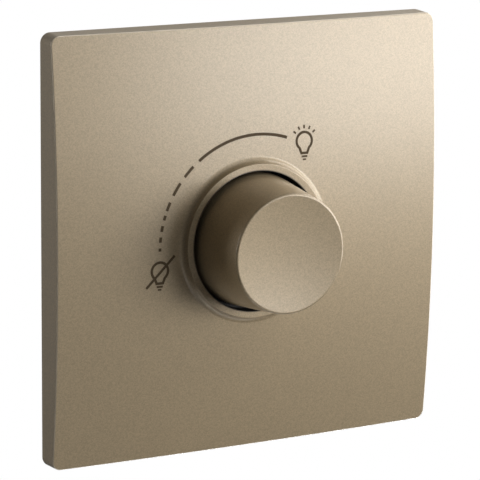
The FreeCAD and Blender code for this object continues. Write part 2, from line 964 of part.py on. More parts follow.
def pot_bushing():
    """Threaded neck with the base flange that bears on the heat sink."""
    bore = s.shaft_radius + s.shaft_play
    turned(
        new_body("pot_bushing"),
        [
            (bore, wafer_front),
            (s.pot_radius, wafer_front),
            (s.pot_radius, sink_back),
            (s.bush_radius, sink_back),
            (s.bush_radius, bush_front),
            (bore, bush_front),
        ],
    )


def pot_washer():
    """Plain washer under the nut."""
    body = new_body("pot_washer")
    ring = face_sketch(body, sink_front)
    circle(ring, 0, 0, s.washer_radius)
    circle(ring, 0, 0, s.bush_radius + s.thread_gap)
    pad(body, ring, s.washer_thickness)


def pot_nut():
    """Hexagon nut on the neck."""
    body = new_body("pot_nut")
    hexagon = face_sketch(body, sink_front + s.washer_thickness)
    corner = s.nut_flats / math.sqrt(3)
    outline(hexagon, [polar(corner, as_size(angle)) for angle in range(30, 390, 60)])
    circle(hexagon, 0, 0, s.bush_radius + s.thread_gap)
    pad(body, hexagon, s.nut_thickness)


def pot_wafer():
    """Insulating wafer with a tongue that carries three tags back to the board."""
    body = new_body("pot_wafer")
    disc = face_sketch(body, wafer_back)
    circle(disc, 0, 0, s.pot_radius)
    pad(body, disc, s.wafer_thickness)
    tongue = face_sketch(body, wafer_back)
    tongue_end = -(s.pot_radius + s.tongue_length)
    rectangle(tongue, -s.tongue_width / 2, tongue_end, s.tongue_width / 2, -s.pot_radius / 2)
    pad(body, tongue, s.wafer_thickness)
    hole = face_sketch(body, wafer_front)
    circle(hole, 0, 0, s.shaft_radius + s.shaft_clear)
    pocket(body, hole, s.wafer_thickness)
    tags = face_sketch(body, wafer_back)
    for index in (-1, 0, 1):
        middle = s.tag_pitch * index
        low = tongue_end + s.tag_thickness
        rectangle(tags, middle - s.tag_width / 2, low, middle + s.tag_width / 2, low + s.tag_thickness)
    pad(body, tags, wafer_back - board_front, backwards=True)


def pot_can():
    """Pressed can with a block inside that stops the wiper at both ends of its turn."""
    body = new_body("pot_can")
    inner = s.pot_radius - s.can_wall
    hole = s.shaft_radius + s.shaft_clear
    turned(
        body,
        [
            (s.pot_radius, wafer_back),
            (inner, wafer_back),
            (inner, can_back + s.can_wall),
            (hole, can_back + s.can_wall),
            (hole, can_back),
            (s.pot_radius, can_back),
        ],
    )
    stop = face_sketch(body, carrier_front)
    ring_sector(stop, inner - s.stop_reach, inner + s.can_wall / 2, s.stop_direction, stop_angle)
    pad(body, stop, s.carrier_thickness, backwards=True)


def pot_switch():
    """Sealed mains switch, with a socket for the end of the shaft."""
    body = new_body("pot_switch")
    disc = face_sketch(body, can_back)
    circle(disc, 0, 0, s.pot_radius)
    pad(body, disc, can_back - board_front, backwards=True)
    socket = face_sketch(body, can_back)
    circle(socket, 0, 0, s.shaft_radius + s.shaft_clear)
    pocket(body, socket, s.socket_depth)


def pot_shaft():
    """Shaft with a flat for the knob and a groove for its clip."""
    body = new_body("pot_shaft")
    back = can_back - s.socket_depth + s.shaft_end_gap
    groove = s.shaft_radius - s.clip_groove
    turned(
        body,
        [
            (0, back),
            (s.shaft_radius, back),
            (s.shaft_radius, clip_back),
            (groove, clip_back),
            (groove, clip_front),
            (s.shaft_radius, clip_front),
            (s.shaft_radius, shaft_front - s.shaft_chamfer),
            (s.shaft_radius - s.shaft_chamfer, shaft_front),
            (0, shaft_front),
        ],
    )
    flat = face_sketch(body, shaft_front)
    beyond = s.shaft_radius * 2
    rectangle(flat, -beyond, s.shaft_radius - s.shaft_flat, beyond, beyond)
    pocket(body, flat, shaft_front - boss_end + s.shaft_flat_runout)


def shaft_clip():
    """Open ring in the shaft's groove, ahead of the neck."""
    body = new_body("shaft_clip")
    ring = face_sketch(body, clip_back)
    inner = s.shaft_radius - s.clip_groove + s.thread_gap
    circle(ring, 0, 0, s.clip_radius)
    circle(ring, 0, 0, inner)
    pad(body, ring, s.clip_thickness)
    mouth = face_sketch(body, clip_front)
    rectangle(mouth, -s.clip_mouth / 2, -s.clip_radius * 2, s.clip_mouth / 2, -inner / 2)
    pocket(body, mouth, s.clip_thickness)


def wiper_carrier():
    """Moulded disc on the shaft, with the lug that meets the can's stop."""
    body = new_body("wiper_carrier")
    disc = face_sketch(body, carrier_front)
    circle(disc, 0, 0, s.carrier_radius)
    circle(disc, 0, 0, s.shaft_radius + s.thread_gap)
    pad(body, disc, s.carrier_thickness, backwards=True)
    lug = face_sketch(body, carrier_front)
    lug_root = s.carrier_radius - s.lug_reach
    ring_sector(lug, lug_root, s.carrier_radius + s.lug_reach, lug_direction, s.lug_angle)
    pad(body, lug, s.carrier_thickness, backwards=True)


def wiper_contact():
    """Spring ring on the carrier, with two fingers that reach for the track."""
    body = new_body("wiper_contact")
    ring = face_sketch(body, carrier_front)
    circle(ring, 0, 0, s.contact_radius)
    circle(ring, 0, 0, s.shaft_radius + s.shaft_clear)
    pad(body, ring, s.contact_thickness)
    fingers = face_sketch(body, carrier_front)
    middle = (s.contact_radius + s.shaft_radius + s.shaft_clear) / 2
    for side in (-1, 1):
        across, along = polar(middle, lug_direction + s.lug_angle * side)
        circle(fingers, across, along, s.contact_finger)
    pad(body, fingers, s.carrier_setback - s.contact_gap)


def knob():
    """Hollow push-on knob: tapered skirt, dished front, boss with a D bore, and ribs."""
    body = new_body("knob")
    base = floor_front + s.knob_floor_gap
    base_radius = s.well_radius - s.knob_gap
    ceiling = s.knob_front - s.knob_dish - s.knob_wall
    inner_rim = s.knob_rim_radius - s.knob_wall
    turned(
        body,
        [
            (0, s.knob_front),
            (0, boss_end),
            (s.knob_boss_radius, boss_end),
            (s.knob_boss_radius, ceiling),
            (inner_rim, ceiling),
            (base_radius - s.knob_wall, base),
            (base_radius, base),
            (s.knob_rim_radius, s.knob_front),
        ],
    )
    dish_radius = (s.knob_rim_radius * s.knob_rim_radius + s.knob_dish * s.knob_dish) / (s.knob_dish * 2)
    dish_centre = s.knob_dish - s.knob_front - dish_radius
    ahead = -s.knob_front - s.knob_dish
    reach = s.knob_rim_radius + s.knob_dish
    dish_end = dish_centre + root(dish_radius * dish_radius - reach * reach)
    dish = sketch_on(body, "YZ_Plane")
    outline(
        dish,
        [
            (dish_end, -reach, dish_centre, 0, "left"),
            (dish_end, reach),
            (ahead, reach),
            (ahead, -reach),
        ],
    )
    sweep_cut(body, dish, dish_centre, s.dish_sweep)
    fillet(
        body,
        s.knob_rim_round,
        lambda edge: at_radius(edge, s.knob_rim_radius.number - CLOSE, s.knob_rim_radius.number + CLOSE)
        and at_level(edge, s.knob_front.number - CLOSE, s.knob_front.number + CLOSE),
    )
    bore = face_sketch(body, boss_end)
    bore_radius = s.shaft_radius + s.thread_gap
    flat = s.shaft_radius - s.shaft_flat + s.thread_gap
    half_flat = root(bore_radius * bore_radius - flat * flat)
    outline(bore, [(half_flat, flat), (-half_flat, flat, 0, 0, "left")])
    pocket(body, bore, shaft_front + s.knob_bore_gap - boss_end, forwards=True)
    rib = face_sketch(body, ceiling - s.knob_rib_depth)
    half_rib = s.knob_rib_width / 2
    rectangle(rib, s.knob_boss_radius - half_rib, -half_rib, s.knob_rim_radius, half_rib)
    first = pad(body, rib, s.knob_rib_depth + s.knob_wall / 4)
    pattern = body.newObject("PartDesign::PolarPattern", "knob_ribs")
    pattern.Originals = [first]
    pattern.Axis = (origin_of(body, "Y_Axis"), [""])
    bind(pattern, "Occurrences", s.knob_rib_count)
    body.Tip = pattern


def triac():
    """Power switch with its metal tab flat under the heat sink's flange and three leads to the board."""
    body = new_body("triac")
    half = s.triac_width / 2
    under = flange_under - s.triac_tab
    case_front = triac_front - s.triac_tab_length
    case_back = board_front + s.triac_lead
    tab = face_sketch(body, triac_front)
    rectangle(tab, -half, under, half, flange_under)
    pad(body, tab, triac_front - case_back, backwards=True)
    case = face_sketch(body, case_front)
    rectangle(case, -half, flange_under - s.triac_body, half, under)
    pad(body, case, case_front - case_back, backwards=True)
    leads = face_sketch(body, case_back)
    middle = flange_under - s.triac_body / 2
    for index in (-1, 0, 1):
        place = s.triac_lead_pitch * index
        rectangle(
            leads,
            place - s.triac_lead_width / 2,
            middle - s.triac_lead_thickness / 2,
            place + s.triac_lead_width / 2,
            middle + s.triac_lead_thickness / 2,
        )
    pad(body, leads, s.triac_lead, backwards=True)
    hole = sketch_on(body, "XY_Plane", flange_under)
    circle(hole, 0, triac_screw_place(), screw_hole)
    pocket(body, hole, s.triac_tab)


def triac_screw():
    """Screw through the triac's tab into the flange."""
    seat = flange_under - s.triac_tab
    place = triac_screw_place()
    shank = rod("triac_screw_shank", "z", (0, place, seat), s.triac_tab + s.sink_thickness, s.screw_radius)
    cap = rod("triac_screw_head", "z", (0, place, seat - s.triac_head), s.triac_head, s.triac_head_radius)
    single(joined("triac_screw", [shank, cap]))


def choke_profile(body, inner, outer, near, far):
    """A ring's section beside the choke's own axis, with that axis."""
    sketch = sketch_on(body, "XY_Plane", choke_z)
    rectangle(sketch, choke_x + inner, -near, choke_x + outer, -far)
    return sketch


def choke():
    """Ring core of the interference choke, and the winding over most of it."""
    near = board_back - winding_shell
    far = near - s.choke_height
    core = new_body("choke_core")
    section = choke_profile(core, s.choke_inner, s.choke_outer, near, far)
    revolve(core, section, axis_line(section, choke_x))
    coil = new_body("choke_winding")
    hole = s.choke_inner - winding_shell
    section = choke_profile(coil, hole, choke_reach, board_back, far - winding_shell)
    gap = s.winding_gap
    rectangle(
        section,
        choke_x + s.choke_inner - gap,
        -near - gap,
        choke_x + s.choke_outer + gap,
        -far + gap,
    )
    revolve(coil, section, axis_line(section, choke_x), s.winding_sweep)


def boxed_part(label, x, z, width, length, height, edge_round, seat, backwards):
    """A moulded block on one face of the board."""
    body = new_body(label)
    sketch = face_sketch(body, seat)
    rectangle(sketch, x - width / 2, z - length / 2, x + width / 2, z + length / 2)
    pad(body, sketch, height, backwards=backwards)
    fillet(body, edge_round, lambda edge: not at_level(edge, seat.number - CLOSE, seat.number + CLOSE))


def fuse():
    """Glass fuse with metal end caps, and the two clips that hold it off the board."""
    level = board_front + s.fuse_clip_wall + s.fuse_lift + s.fuse_radius
    half = s.fuse_length / 2
    glass = rod(
        "fuse_glass", "z", (fuse_x, -level, -half), s.fuse_length, s.fuse_radius - s.fuse_glass_inset
    )
    caps = [
        rod(f"fuse_cap_{index}", "z", (fuse_x, -level, start), s.fuse_cap, s.fuse_radius)
        for index, start in enumerate((-half, half - s.fuse_cap))
    ]
    single(joined("fuse", [glass, *caps]))
    body = new_body("fuse_clips")
    inner = s.fuse_radius + s.thread_gap
    outer = inner + s.fuse_clip_wall
    clip = sketch_on(body, "XY_Plane", half - (s.fuse_cap + s.fuse_clip_length) / 2)
    outline(
        clip,
        [
            (fuse_x - outer, -board_front),
            (fuse_x - outer, -level),
            (fuse_x - inner, -level),
            (fuse_x - inner, -(board_front + s.fuse_clip_wall)),
            (fuse_x + inner, -(board_front + s.fuse_clip_wall)),
            (fuse_x + inner, -level),
            (fuse_x + outer, -level),
            (fuse_x + outer, -board_front),
        ],
    )
    mirrored(body, pad(body, clip, s.fuse_clip_length), "XY_Plane")


def axial_part(label, x, z, radius, length):
    """A small part lying on the board, with a lead at each end."""
    level = board_front + radius
    start = z - length / 2
    case = rod(f"{label}_case", "z", (x, -level, start), length, radius)
    lead_length = length + s.lead_reach * 2
    lead = rod(f"{label}_lead", "z", (x, -level, start - s.lead_reach), lead_length, s.lead_radius)
    return joined(label, [case, lead])


def small_parts():
    """Resistors and the trigger diode."""
    resistors = [
        axial_part(
            f"resistor_{index}",
            board_half_width - s.resistor_side_inset - s.resistor_pitch * index,
            s.resistor_z,
            s.resistor_radius,
            s.resistor_length,
        )
        for index in range(int(s.resistor_count.number))
    ]
    group("resistors", resistors)
    diode_x = board_half_width - s.diode_side_inset
    diode_z = s.diode_low_inset - board_half_height
    single(axial_part("trigger_diode", diode_x, diode_z, s.diode_radius, s.diode_length))


def terminals():
    """Brass cages on the back of the board, each with a screw that is reached from behind."""
    cages = []
    screws = []
    for index, x in enumerate(clamp_places()):
        half = s.clamp_width / 2
        low = clamp_z - s.clamp_height / 2
        high = clamp_z + s.clamp_height / 2
        cage = block(f"clamp_{index}_cage", (x - half, -board_back, low), (x + half, -clamp_back, high))
        opening = s.clamp_window / 2
        window = block(
            f"clamp_{index}_window",
            (x - opening, -wire_level - opening, low),
            (x + opening, -wire_level + opening, high),
        )
        open_cage = cut_from(f"clamp_{index}_open", cage, window)
        thread = rod(
            f"clamp_{index}_thread",
            "y",
            (x, -wire_level, clamp_z),
            s.clamp_depth,
            s.terminal_radius + s.thread_gap,
        )
        cages.append(cut_from(f"clamp_{index}", open_cage, thread))
        screws.append(
            slotted_screw(
                f"terminal_screw_{index}",
                x,
                clamp_z,
                clamp_back,
                s.terminal_radius,
                s.terminal_length,
                s.terminal_head_radius,
                s.terminal_head,
                False,
            )
        )
    group("terminal_clamps", cages)
    group("terminal_screws", screws)


def build():
    """Make every piece."""
    front_plate()
    support_frame()
    heat_sink()
    rear_housing()
    housing_screws()
    circuit_board()
    pot_bushing()
    pot_washer()
    pot_nut()
    pot_wafer()
    pot_can()
    pot_switch()
    pot_shaft()
    shaft_clip()
    wiper_carrier()
    wiper_contact()
    knob()
    triac()
    triac_screw()
    choke()
    boxed_part(
        "film_capacitor",
        board_half_width - s.film_side_inset,
        board_half_height - s.film_top_inset,
        s.film_width,
        s.film_length,
        s.film_height,
        s.film_round,
        board_back,
        True,
    )
    boxed_part(
        "timing_capacitor",
        board_half_width - s.timing_side_inset,
        board_half_height - s.timing_top_inset,
        s.timing_width,
        s.timing_length,
        s.timing_height,
        s.timing_round,
        board_front,
        False,
    )
    fuse()
    small_parts()
    terminals()


def write_parts():
    """Check every object and piece, then write one file for each piece."""
    DOC.recompute()
    failed = [item.Label for item in DOC.Objects if {"Invalid", "Error"} & set(item.State)]
    if failed:
        raise RuntimeError(f"these objects failed: {failed}")
    for piece in PIECES:
        if piece.Shape.isNull() or not piece.Shape.isValid() or not piece.Shape.Solids:
            raise RuntimeError(f"{piece.Label} has no sound solid")
    os.makedirs("parts", exist_ok=True)
    for piece in PIECES:
        piece.Shape.exportStep(f"parts/{piece.Label}.step")


build()
write_parts()
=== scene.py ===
"""Dresses the rotary dimmer switch: painted plate and knob, printed signs, working parts and studio."""

import json
import logging
import math
from collections.abc import Iterable, Sequence
from dataclasses import dataclass
from enum import Enum
from typing import ClassVar, Protocol

import bmesh
import bpy
from mathutils import Euler, Matrix, Vector


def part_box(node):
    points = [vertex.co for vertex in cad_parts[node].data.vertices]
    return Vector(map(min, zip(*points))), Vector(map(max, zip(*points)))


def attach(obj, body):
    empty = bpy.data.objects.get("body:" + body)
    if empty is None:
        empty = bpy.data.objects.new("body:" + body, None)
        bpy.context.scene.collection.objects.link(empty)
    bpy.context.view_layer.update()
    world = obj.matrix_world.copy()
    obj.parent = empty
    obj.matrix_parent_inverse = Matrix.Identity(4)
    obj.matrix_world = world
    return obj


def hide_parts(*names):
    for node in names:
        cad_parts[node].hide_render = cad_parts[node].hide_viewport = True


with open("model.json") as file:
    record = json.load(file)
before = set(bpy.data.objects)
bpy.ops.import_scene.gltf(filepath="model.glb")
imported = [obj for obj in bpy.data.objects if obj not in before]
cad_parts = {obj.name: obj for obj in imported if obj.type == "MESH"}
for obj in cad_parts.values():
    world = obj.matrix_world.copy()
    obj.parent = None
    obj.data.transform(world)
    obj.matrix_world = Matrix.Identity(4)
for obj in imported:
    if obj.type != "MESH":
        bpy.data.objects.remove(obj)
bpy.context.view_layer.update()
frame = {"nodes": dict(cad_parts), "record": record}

Triple = tuple[float, float, float]
Colour = Triple
Place = tuple[float, float]
Span = tuple[float, float]
Stop = tuple[float, Colour]
Mesh = bmesh.types.BMesh
Edge = bmesh.types.BMEdge
Vertex = bmesh.types.BMVert
Material = bpy.types.Material
Socket = bpy.types.NodeSocket

LOG = logging.getLogger("dimmer")
MM = 0.001
SHARP_ANGLE = math.radians(35.0)
# Most of a noise pattern lies between these levels.
NOISE_RANGE: Span = (0.3, 0.7)


class Body(Enum):
    """The two CAD bodies."""

    SWITCH = "switch"
    TURNING = "turning"


class Axis(Enum):
    """Directions of the shared frame."""

    X = "X"
    Y = "Y"
    Z = "Z"


class Join(Enum):
    """Ways to make one level of two."""

    BOTH = "MULTIPLY"
    EITHER = "MAXIMUM"


def shaded(colour: Colour, level: float) -> Colour:
    """A colour made darker or paler by a factor."""
    return tuple(min(1.0, part * level) for part in colour)


class NodeGraph:
    """A node tree with short calls to fill it."""

    def __init__(self, tree: bpy.types.NodeTree) -> None:
        """Take a tree and empty it."""
        self.tree = tree
        self.tree.nodes.clear()

    def add(self, kind: str, **inputs: object) -> bpy.types.Node:
        """Add a node and set its input sockets.

        Args:
            kind: the node's type.
            inputs: values for sockets, by name with spaces written as underscores.

        Returns:
            The new node.
        """
        node = self.tree.nodes.new(kind)
        for socket, value in inputs.items():
            node.inputs[socket.replace("_", " ")].default_value = value
        return node

    def link(self, start: Socket, end: Socket) -> None:
        """Join an output to an input."""
        self.tree.links.new(start, end)

    def combined(self, way: Join, first: Socket, second: Socket) -> Socket:
        """Make one level of two.

        Args:
            way: how they are joined.
            first: the first level.
            second: the second level.

        Returns:
            The result.
        """
        node = self.add("ShaderNodeMath")
        node.operation = way.value
        self.link(first, node.inputs[0])
        self.link(second, node.inputs[1])
        return node.outputs["Value"]

    def between(self, value: Socket, low: float, high: float, span: Span = NOISE_RANGE) -> Socket:
        """Map a value to a range.

        Args:
            value: the value.
            low: result at the span's start.
            high: result at the span's end.
            span: values that give low and high.

        Returns:
            The mapped value.
        """
        start, end = span
        node = self.add("ShaderNodeMapRange", From_Min=start, From_Max=end, To_Min=low, To_Max=high)
        self.link(value, node.inputs["Value"])
        return node.outputs["Result"]

    def rise(self, value: Socket, span: Span, unit: float = 1.0) -> Socket:
        """A level that goes from 0 to 1 over a span.

        Args:
            value: the value that the span is on.
            span: where the level starts and ends.
            unit: the span's unit.

        Returns:
            The level.
        """
        start, end = span
        return self.between(value, 0.0, 1.0, (start * unit, end * unit))

    def scaled(self, level: Socket, most: float) -> Socket:
        """A level from 0 to 1, brought to a range from 0 to the most."""
        return self.between(level, 0.0, most, (0.0, 1.0))

    def along(self, vector: Socket, axis: Axis) -> Socket:
        """One part of a place or a direction.

        Args:
            vector: the place or direction.
            axis: the part to take.

        Returns:
            The number.
        """
        node = self.add("ShaderNodeSeparateXYZ")
        self.link(vector, node.inputs["Vector"])
        return node.outputs[axis.value]

    def seen(self) -> tuple[Socket, Socket]:
        """How a surface is seen.

        Returns:
            Whether straight from the camera, and whether in a shine or through glass.
        """
        rays = self.add("ShaderNodeLightPath").outputs
        shown = self.combined(Join.EITHER, rays["Is Glossy Ray"], rays["Is Transmission Ray"])
        return rays["Is Camera Ray"], shown


class Surface(NodeGraph):
    """A material's node tree round one shader."""

    # The Mix node's colour sockets, which have the same names as its number sockets.
    MIX_LOW: ClassVar[int] = 6
    MIX_HIGH: ClassVar[int] = 7
    MIX_RESULT: ClassVar[int] = 2

    def __init__(self, name: str) -> None:
        """Start a material.

        Args:
            name: the material's name.
        """
        self.material = bpy.data.materials.new(name)
        self.material.use_nodes = True
        super().__init__(self.material.node_tree)
        self.shader = self.add("ShaderNodeBsdfPrincipled")
        output = self.add("ShaderNodeOutputMaterial")
        self.link(self.shader.outputs["BSDF"], output.inputs["Surface"])
        coordinates = self.add("ShaderNodeTexCoord")
        self.place = coordinates.outputs["Object"]
        self.facing = coordinates.outputs["Normal"]

    def turned(self, scale: Triple = (1.0, 1.0, 1.0), rotation: Triple = (0.0, 0.0, 0.0)) -> Socket:
        """Places on the piece, stretched or turned.

        Args:
            scale: factor along each axis.
            rotation: turn about each axis in degrees.

        Returns:
            The changed coordinates.
        """
        angles = tuple(math.radians(angle) for angle in rotation)
        node = self.add("ShaderNodeMapping", Scale=scale, Rotation=angles)
        self.link(self.place, node.inputs["Vector"])
        return node.outputs["Vector"]

    def noise(self, cell: float, detail: float = 2.0, place: Socket | None = None) -> Socket:
        """A noise pattern over the piece.

        Args:
            cell: size of the pattern in millimetres.
            detail: octaves of finer noise.
            place: coordinates to read, or the piece's own.

        Returns:
            The noise value, about 0.5 on average.
        """
        node = self.add("ShaderNodeTexNoise", Scale=1.0 / (cell * MM), Detail=detail)
        self.link(place or self.place, node.inputs["Vector"])
        return node.outputs["Fac"]

    def flakes(self, cell: float) -> Socket:
        """Cells with a random level each, such as metal flakes in paint.

        Args:
            cell: size of a flake in millimetres.

        Returns:
            A random level from 0 to 1 in each cell.
        """
        node = self.add("ShaderNodeTexVoronoi", Scale=1.0 / (cell * MM))
        self.link(self.place, node.inputs["Vector"])
        split = self.add("ShaderNodeSeparateColor")
        self.link(node.outputs["Color"], split.inputs["Color"])
        return split.outputs["Red"]

    def toned(self, level: Socket, stops: Sequence[Stop], sharp: bool = False) -> Socket:
        """Colours along a level.

        Args:
            level: the level, from 0 to 1.
            stops: levels and their colours, in rising order.
            sharp: whether each colour holds up to the next stop.

        Returns:
            The colour.
        """
        node = self.add("ShaderNodeValToRGB")
        ramp = node.color_ramp
        ramp.interpolation = "CONSTANT" if sharp else "LINEAR"
        while len(ramp.elements) < len(stops):
            ramp.elements.new(1.0)
        for element, (position, colour) in zip(ramp.elements, stops):
            element.position = position
            element.color = (*colour, 1.0)
        self.link(level, node.inputs["Fac"])
        return node.outputs["Color"]

    def mixed(self, level: Socket, low: Colour, high: Socket) -> Socket:
        """Blend from a plain colour to another.

        Args:
            level: share of the second colour.
            low: the plain colour.
            high: the second colour.

        Returns:
            The colour.
        """
        node = self.add("ShaderNodeMix")
        node.data_type = "RGBA"
        node.inputs[self.MIX_LOW].default_value = (*low, 1.0)
        self.link(level, node.inputs["Factor"])
        self.link(high, node.inputs[self.MIX_HIGH])
        return node.outputs[self.MIX_RESULT]

    def set(self, **values: object) -> None:
        """Set the shader's own sockets, by name with spaces written as underscores."""
        for socket, value in values.items():
            self.shader.inputs[socket.replace("_", " ")].default_value = value

    def feed(self, socket: str, value: Socket) -> None:
        """Drive one of the shader's sockets with a pattern."""
        self.link(value, self.shader.inputs[socket])

    def stain(self, pattern: Socket, low: Colour, high: Colour) -> None:
        """Let the colour follow a noise pattern."""
        start, end = NOISE_RANGE
        self.feed("Base Color", self.toned(pattern, ((start, low), (end, high))))

    def polish(self, pattern: Socket, low: float, high: float) -> None:
        """Let the roughness follow a noise pattern."""
        self.feed("Roughness", self.between(pattern, low, high))

    def bump(self, height: Socket, depth: float, strength: float) -> None:
        """Roughen the surface.

        Args:
            height: the pattern.
            depth: its depth in millimetres.
            strength: how much of it shows.
        """
        node = self.add("ShaderNodeBump", Strength=strength, Distance=depth * MM)
        self.link(height, node.inputs["Height"])
        self.feed("Normal", node.outputs["Normal"])


class Finish(Protocol):
    """Anything that builds a material."""

    def material(self) -> Material:
        """Build the material."""


@dataclass(frozen=True)
class Paint:
    """Satin paint with fine metal flakes under a clear coat. Sizes in millimetres."""

    name: str
    colour: Colour
    metallic: float
    roughness: float
    coat_roughness: float
    ior: float = 1.5
    coat_ior: float = 1.6
    flake: float = 0.20
    flake_spread: float = 0.14
    mottle: float = 2.6
    unevenness: float = 0.015
    grain_depth: float = 0.004
    grain_strength: float = 0.3
    # Painted shade in the gap round the knob, a near-black colour there: radius of the well and the knob, and Y of
    # the knob's back.
    bare: Colour = (0.010, 0.008, 0.006)
    well_radius: Span = (14.2, 14.45)
    knob_side: Span = (13.72, 13.68)
    knob_back: Span = (-6.0, -6.15)
    # Painted highlight along the plate's front edges, a pale colour there: Y of the normal there, and the distance
    # from the knob.
    edge_highlight: Colour = (0.90, 0.80, 0.62)
    edge_highlight_share: float = 0.95
    edge_start: Span = (-0.97, -0.88)
    edge_end: Span = (-0.20, -0.45)
    plate_rim: Span = (29.0, 31.0)

    @staticmethod
    def radius(graph: Surface) -> Socket:
        """Distance from the knob's axis.

        Args:
            graph: the paint's nodes.

        Returns:
            The distance in metres.
        """
        length = graph.add("ShaderNodeVectorMath")
        length.operation = "LENGTH"
        graph.link(graph.turned(scale=(1.0, 0.0, 1.0)), length.inputs[0])
        return length.outputs["Value"]

    def free_of_edge_highlight(self, graph: Surface) -> Socket:
        """Where there is no painted highlight: the colour is painted pale along the plate's front edges as a
        highlight.

        Args:
            graph: the paint's nodes.

        Returns:
            The level, least on the edges under the painted highlight and 1 elsewhere.
        """
        facing = graph.along(graph.facing, Axis.Y)
        start, end = graph.rise(facing, self.edge_start), graph.rise(facing, self.edge_end)
        plate = graph.rise(self.radius(graph), self.plate_rim, MM)
        edge = graph.combined(Join.BOTH, graph.combined(Join.BOTH, start, end), plate)
        return graph.between(edge, 1.0, 1.0 - self.edge_highlight_share, (0.0, 1.0))

    def free_of_gap_shade(self, graph: Surface) -> Socket:
        """Where there is no painted shade: the narrow gap round the knob is painted near black as shade.

        Args:
            graph: the paint's nodes.

        Returns:
            The level, from 0 in the gap, where shade is painted, to 1.
        """
        radius = self.radius(graph)
        beyond = graph.rise(radius, self.well_radius, MM)
        inside = graph.rise(radius, self.knob_side, MM)
        ahead = graph.rise(graph.along(graph.place, Axis.Y), self.knob_back, MM)
        return graph.combined(Join.EITHER, beyond, graph.combined(Join.BOTH, inside, ahead))

    def material(self) -> Material:
        """Build the paint.

        Returns:
            A material with flakes, a faint mottle and a smooth clear coat, with painted shade in the gap and a
            painted highlight on the edges.
        """
        graph = Surface(self.name)
        unshaded = self.free_of_gap_shade(graph)
        dark, pale = (shaded(self.colour, 1.0 + share * self.flake_spread) for share in (-1.0, 1.0))
        paint_colour = graph.toned(graph.flakes(self.flake), ((0.0, dark), (1.0, pale)))
        # Painted highlight: the paint's colour turns pale along the plate's front edges.
        paint_colour = graph.mixed(self.free_of_edge_highlight(graph), self.edge_highlight, paint_colour)
        # Painted shade: near-black colour, no metal and no coat in the gap round the knob and on the knob's back
        # inside it.
        graph.feed("Base Color", graph.mixed(unshaded, self.bare, paint_colour))
        graph.feed("Metallic", graph.scaled(unshaded, self.metallic))
        graph.feed("Coat Weight", unshaded)
        graph.set(IOR=self.ior, Coat_Roughness=self.coat_roughness, Coat_IOR=self.coat_ior)
        graph.polish(graph.noise(self.mottle), self.roughness - self.unevenness, self.roughness + self.unevenness)
        graph.bump(graph.noise(self.flake), self.grain_depth, self.grain_strength)
        return graph.material


@dataclass(frozen=True)
class Moulding:
    """Moulded plastic with a spark-eroded grain. Sizes in millimetres."""

    name: str
    colour: Colour
    roughness: float
    flow: float = 6.0
    flow_detail: float = 3.0
    spread: float = 0.06
    grain: float = 0.35
    unevenness: float = 0.05
    grain_depth: float = 0.02
    grain_strength: float = 0.4

    def material(self) -> Material:
        """Build the plastic.

        Returns:
            A material with a fine grain and a slight change of tone.
        """
        graph = Surface(self.name)
        grain = graph.noise(self.grain)
        graph.stain(graph.noise(self.flow, self.flow_detail), shaded(self.colour, 1.0 - self.spread), self.colour)
        graph.polish(grain, self.roughness - self.unevenness, self.roughness + self.unevenness)
        graph.bump(grain, self.grain_depth, self.grain_strength)
        return graph.material


@dataclass(frozen=True)
class Metal:
    """Bare or plated metal with drawn marks. Sizes in millimetres."""

    name: str
    colour: Colour
    roughness: float
    mark: float = 0.12
    mark_detail: float = 3.0
    stretch: Triple = (1.0, 1.0, 0.08)
    stain: float = 1.8
    stain_level: float = 0.82
    unevenness: float = 0.07
    mark_depth: float = 0.004
    mark_strength: float = 0.25

    def material(self) -> Material:
        """Build the metal.

        Returns:
            A material with marks along Z and uneven shine.
        """
        graph = Surface(self.name)
        marks = graph.noise(self.mark, self.mark_detail, graph.turned(scale=self.stretch))
        graph.stain(graph.noise(self.stain), shaded(self.colour, self.stain_level), self.colour)
        graph.polish(marks, self.roughness - self.unevenness, self.roughness + self.unevenness)
        graph.set(Metallic=1.0)
        graph.bump(marks, self.mark_depth, self.mark_strength)
        return graph.material


@dataclass(frozen=True)
class Glass:
    """Clear glass with a faint unevenness. Sizes in millimetres."""

    name: str
    colour: Colour
    drawn: float = 3.0
    roughness: Span = (0.02, 0.08)
    clearness: float = 0.9
    ior: float = 1.5

    def material(self) -> Material:
        """Build the glass.

        Returns:
            A clear material with uneven shine.
        """
        graph = Surface(self.name)
        graph.set(Base_Color=(*self.colour, 1.0), Transmission_Weight=self.clearness, IOR=self.ior)
        graph.polish(graph.noise(self.drawn), *self.roughness)
        return graph.material


@dataclass(frozen=True)
class Ink:
    """Pad-printed ink with a slightly uneven film. Sizes in millimetres."""

    name: str
    colour: Colour
    film: float = 0.4
    paler: float = 1.25
    roughness: Span = (0.5, 0.62)
    shine: float = 0.15

    def material(self) -> Material:
        """Build the ink.

        Returns:
            A dull material that is paler where the film is thin.
        """
        graph = Surface(self.name)
        film = graph.noise(self.film)
        graph.stain(film, self.colour, shaded(self.colour, self.paler))
        graph.polish(film, *self.roughness)
        graph.set(Specular_IOR_Level=self.shine)
        return graph.material


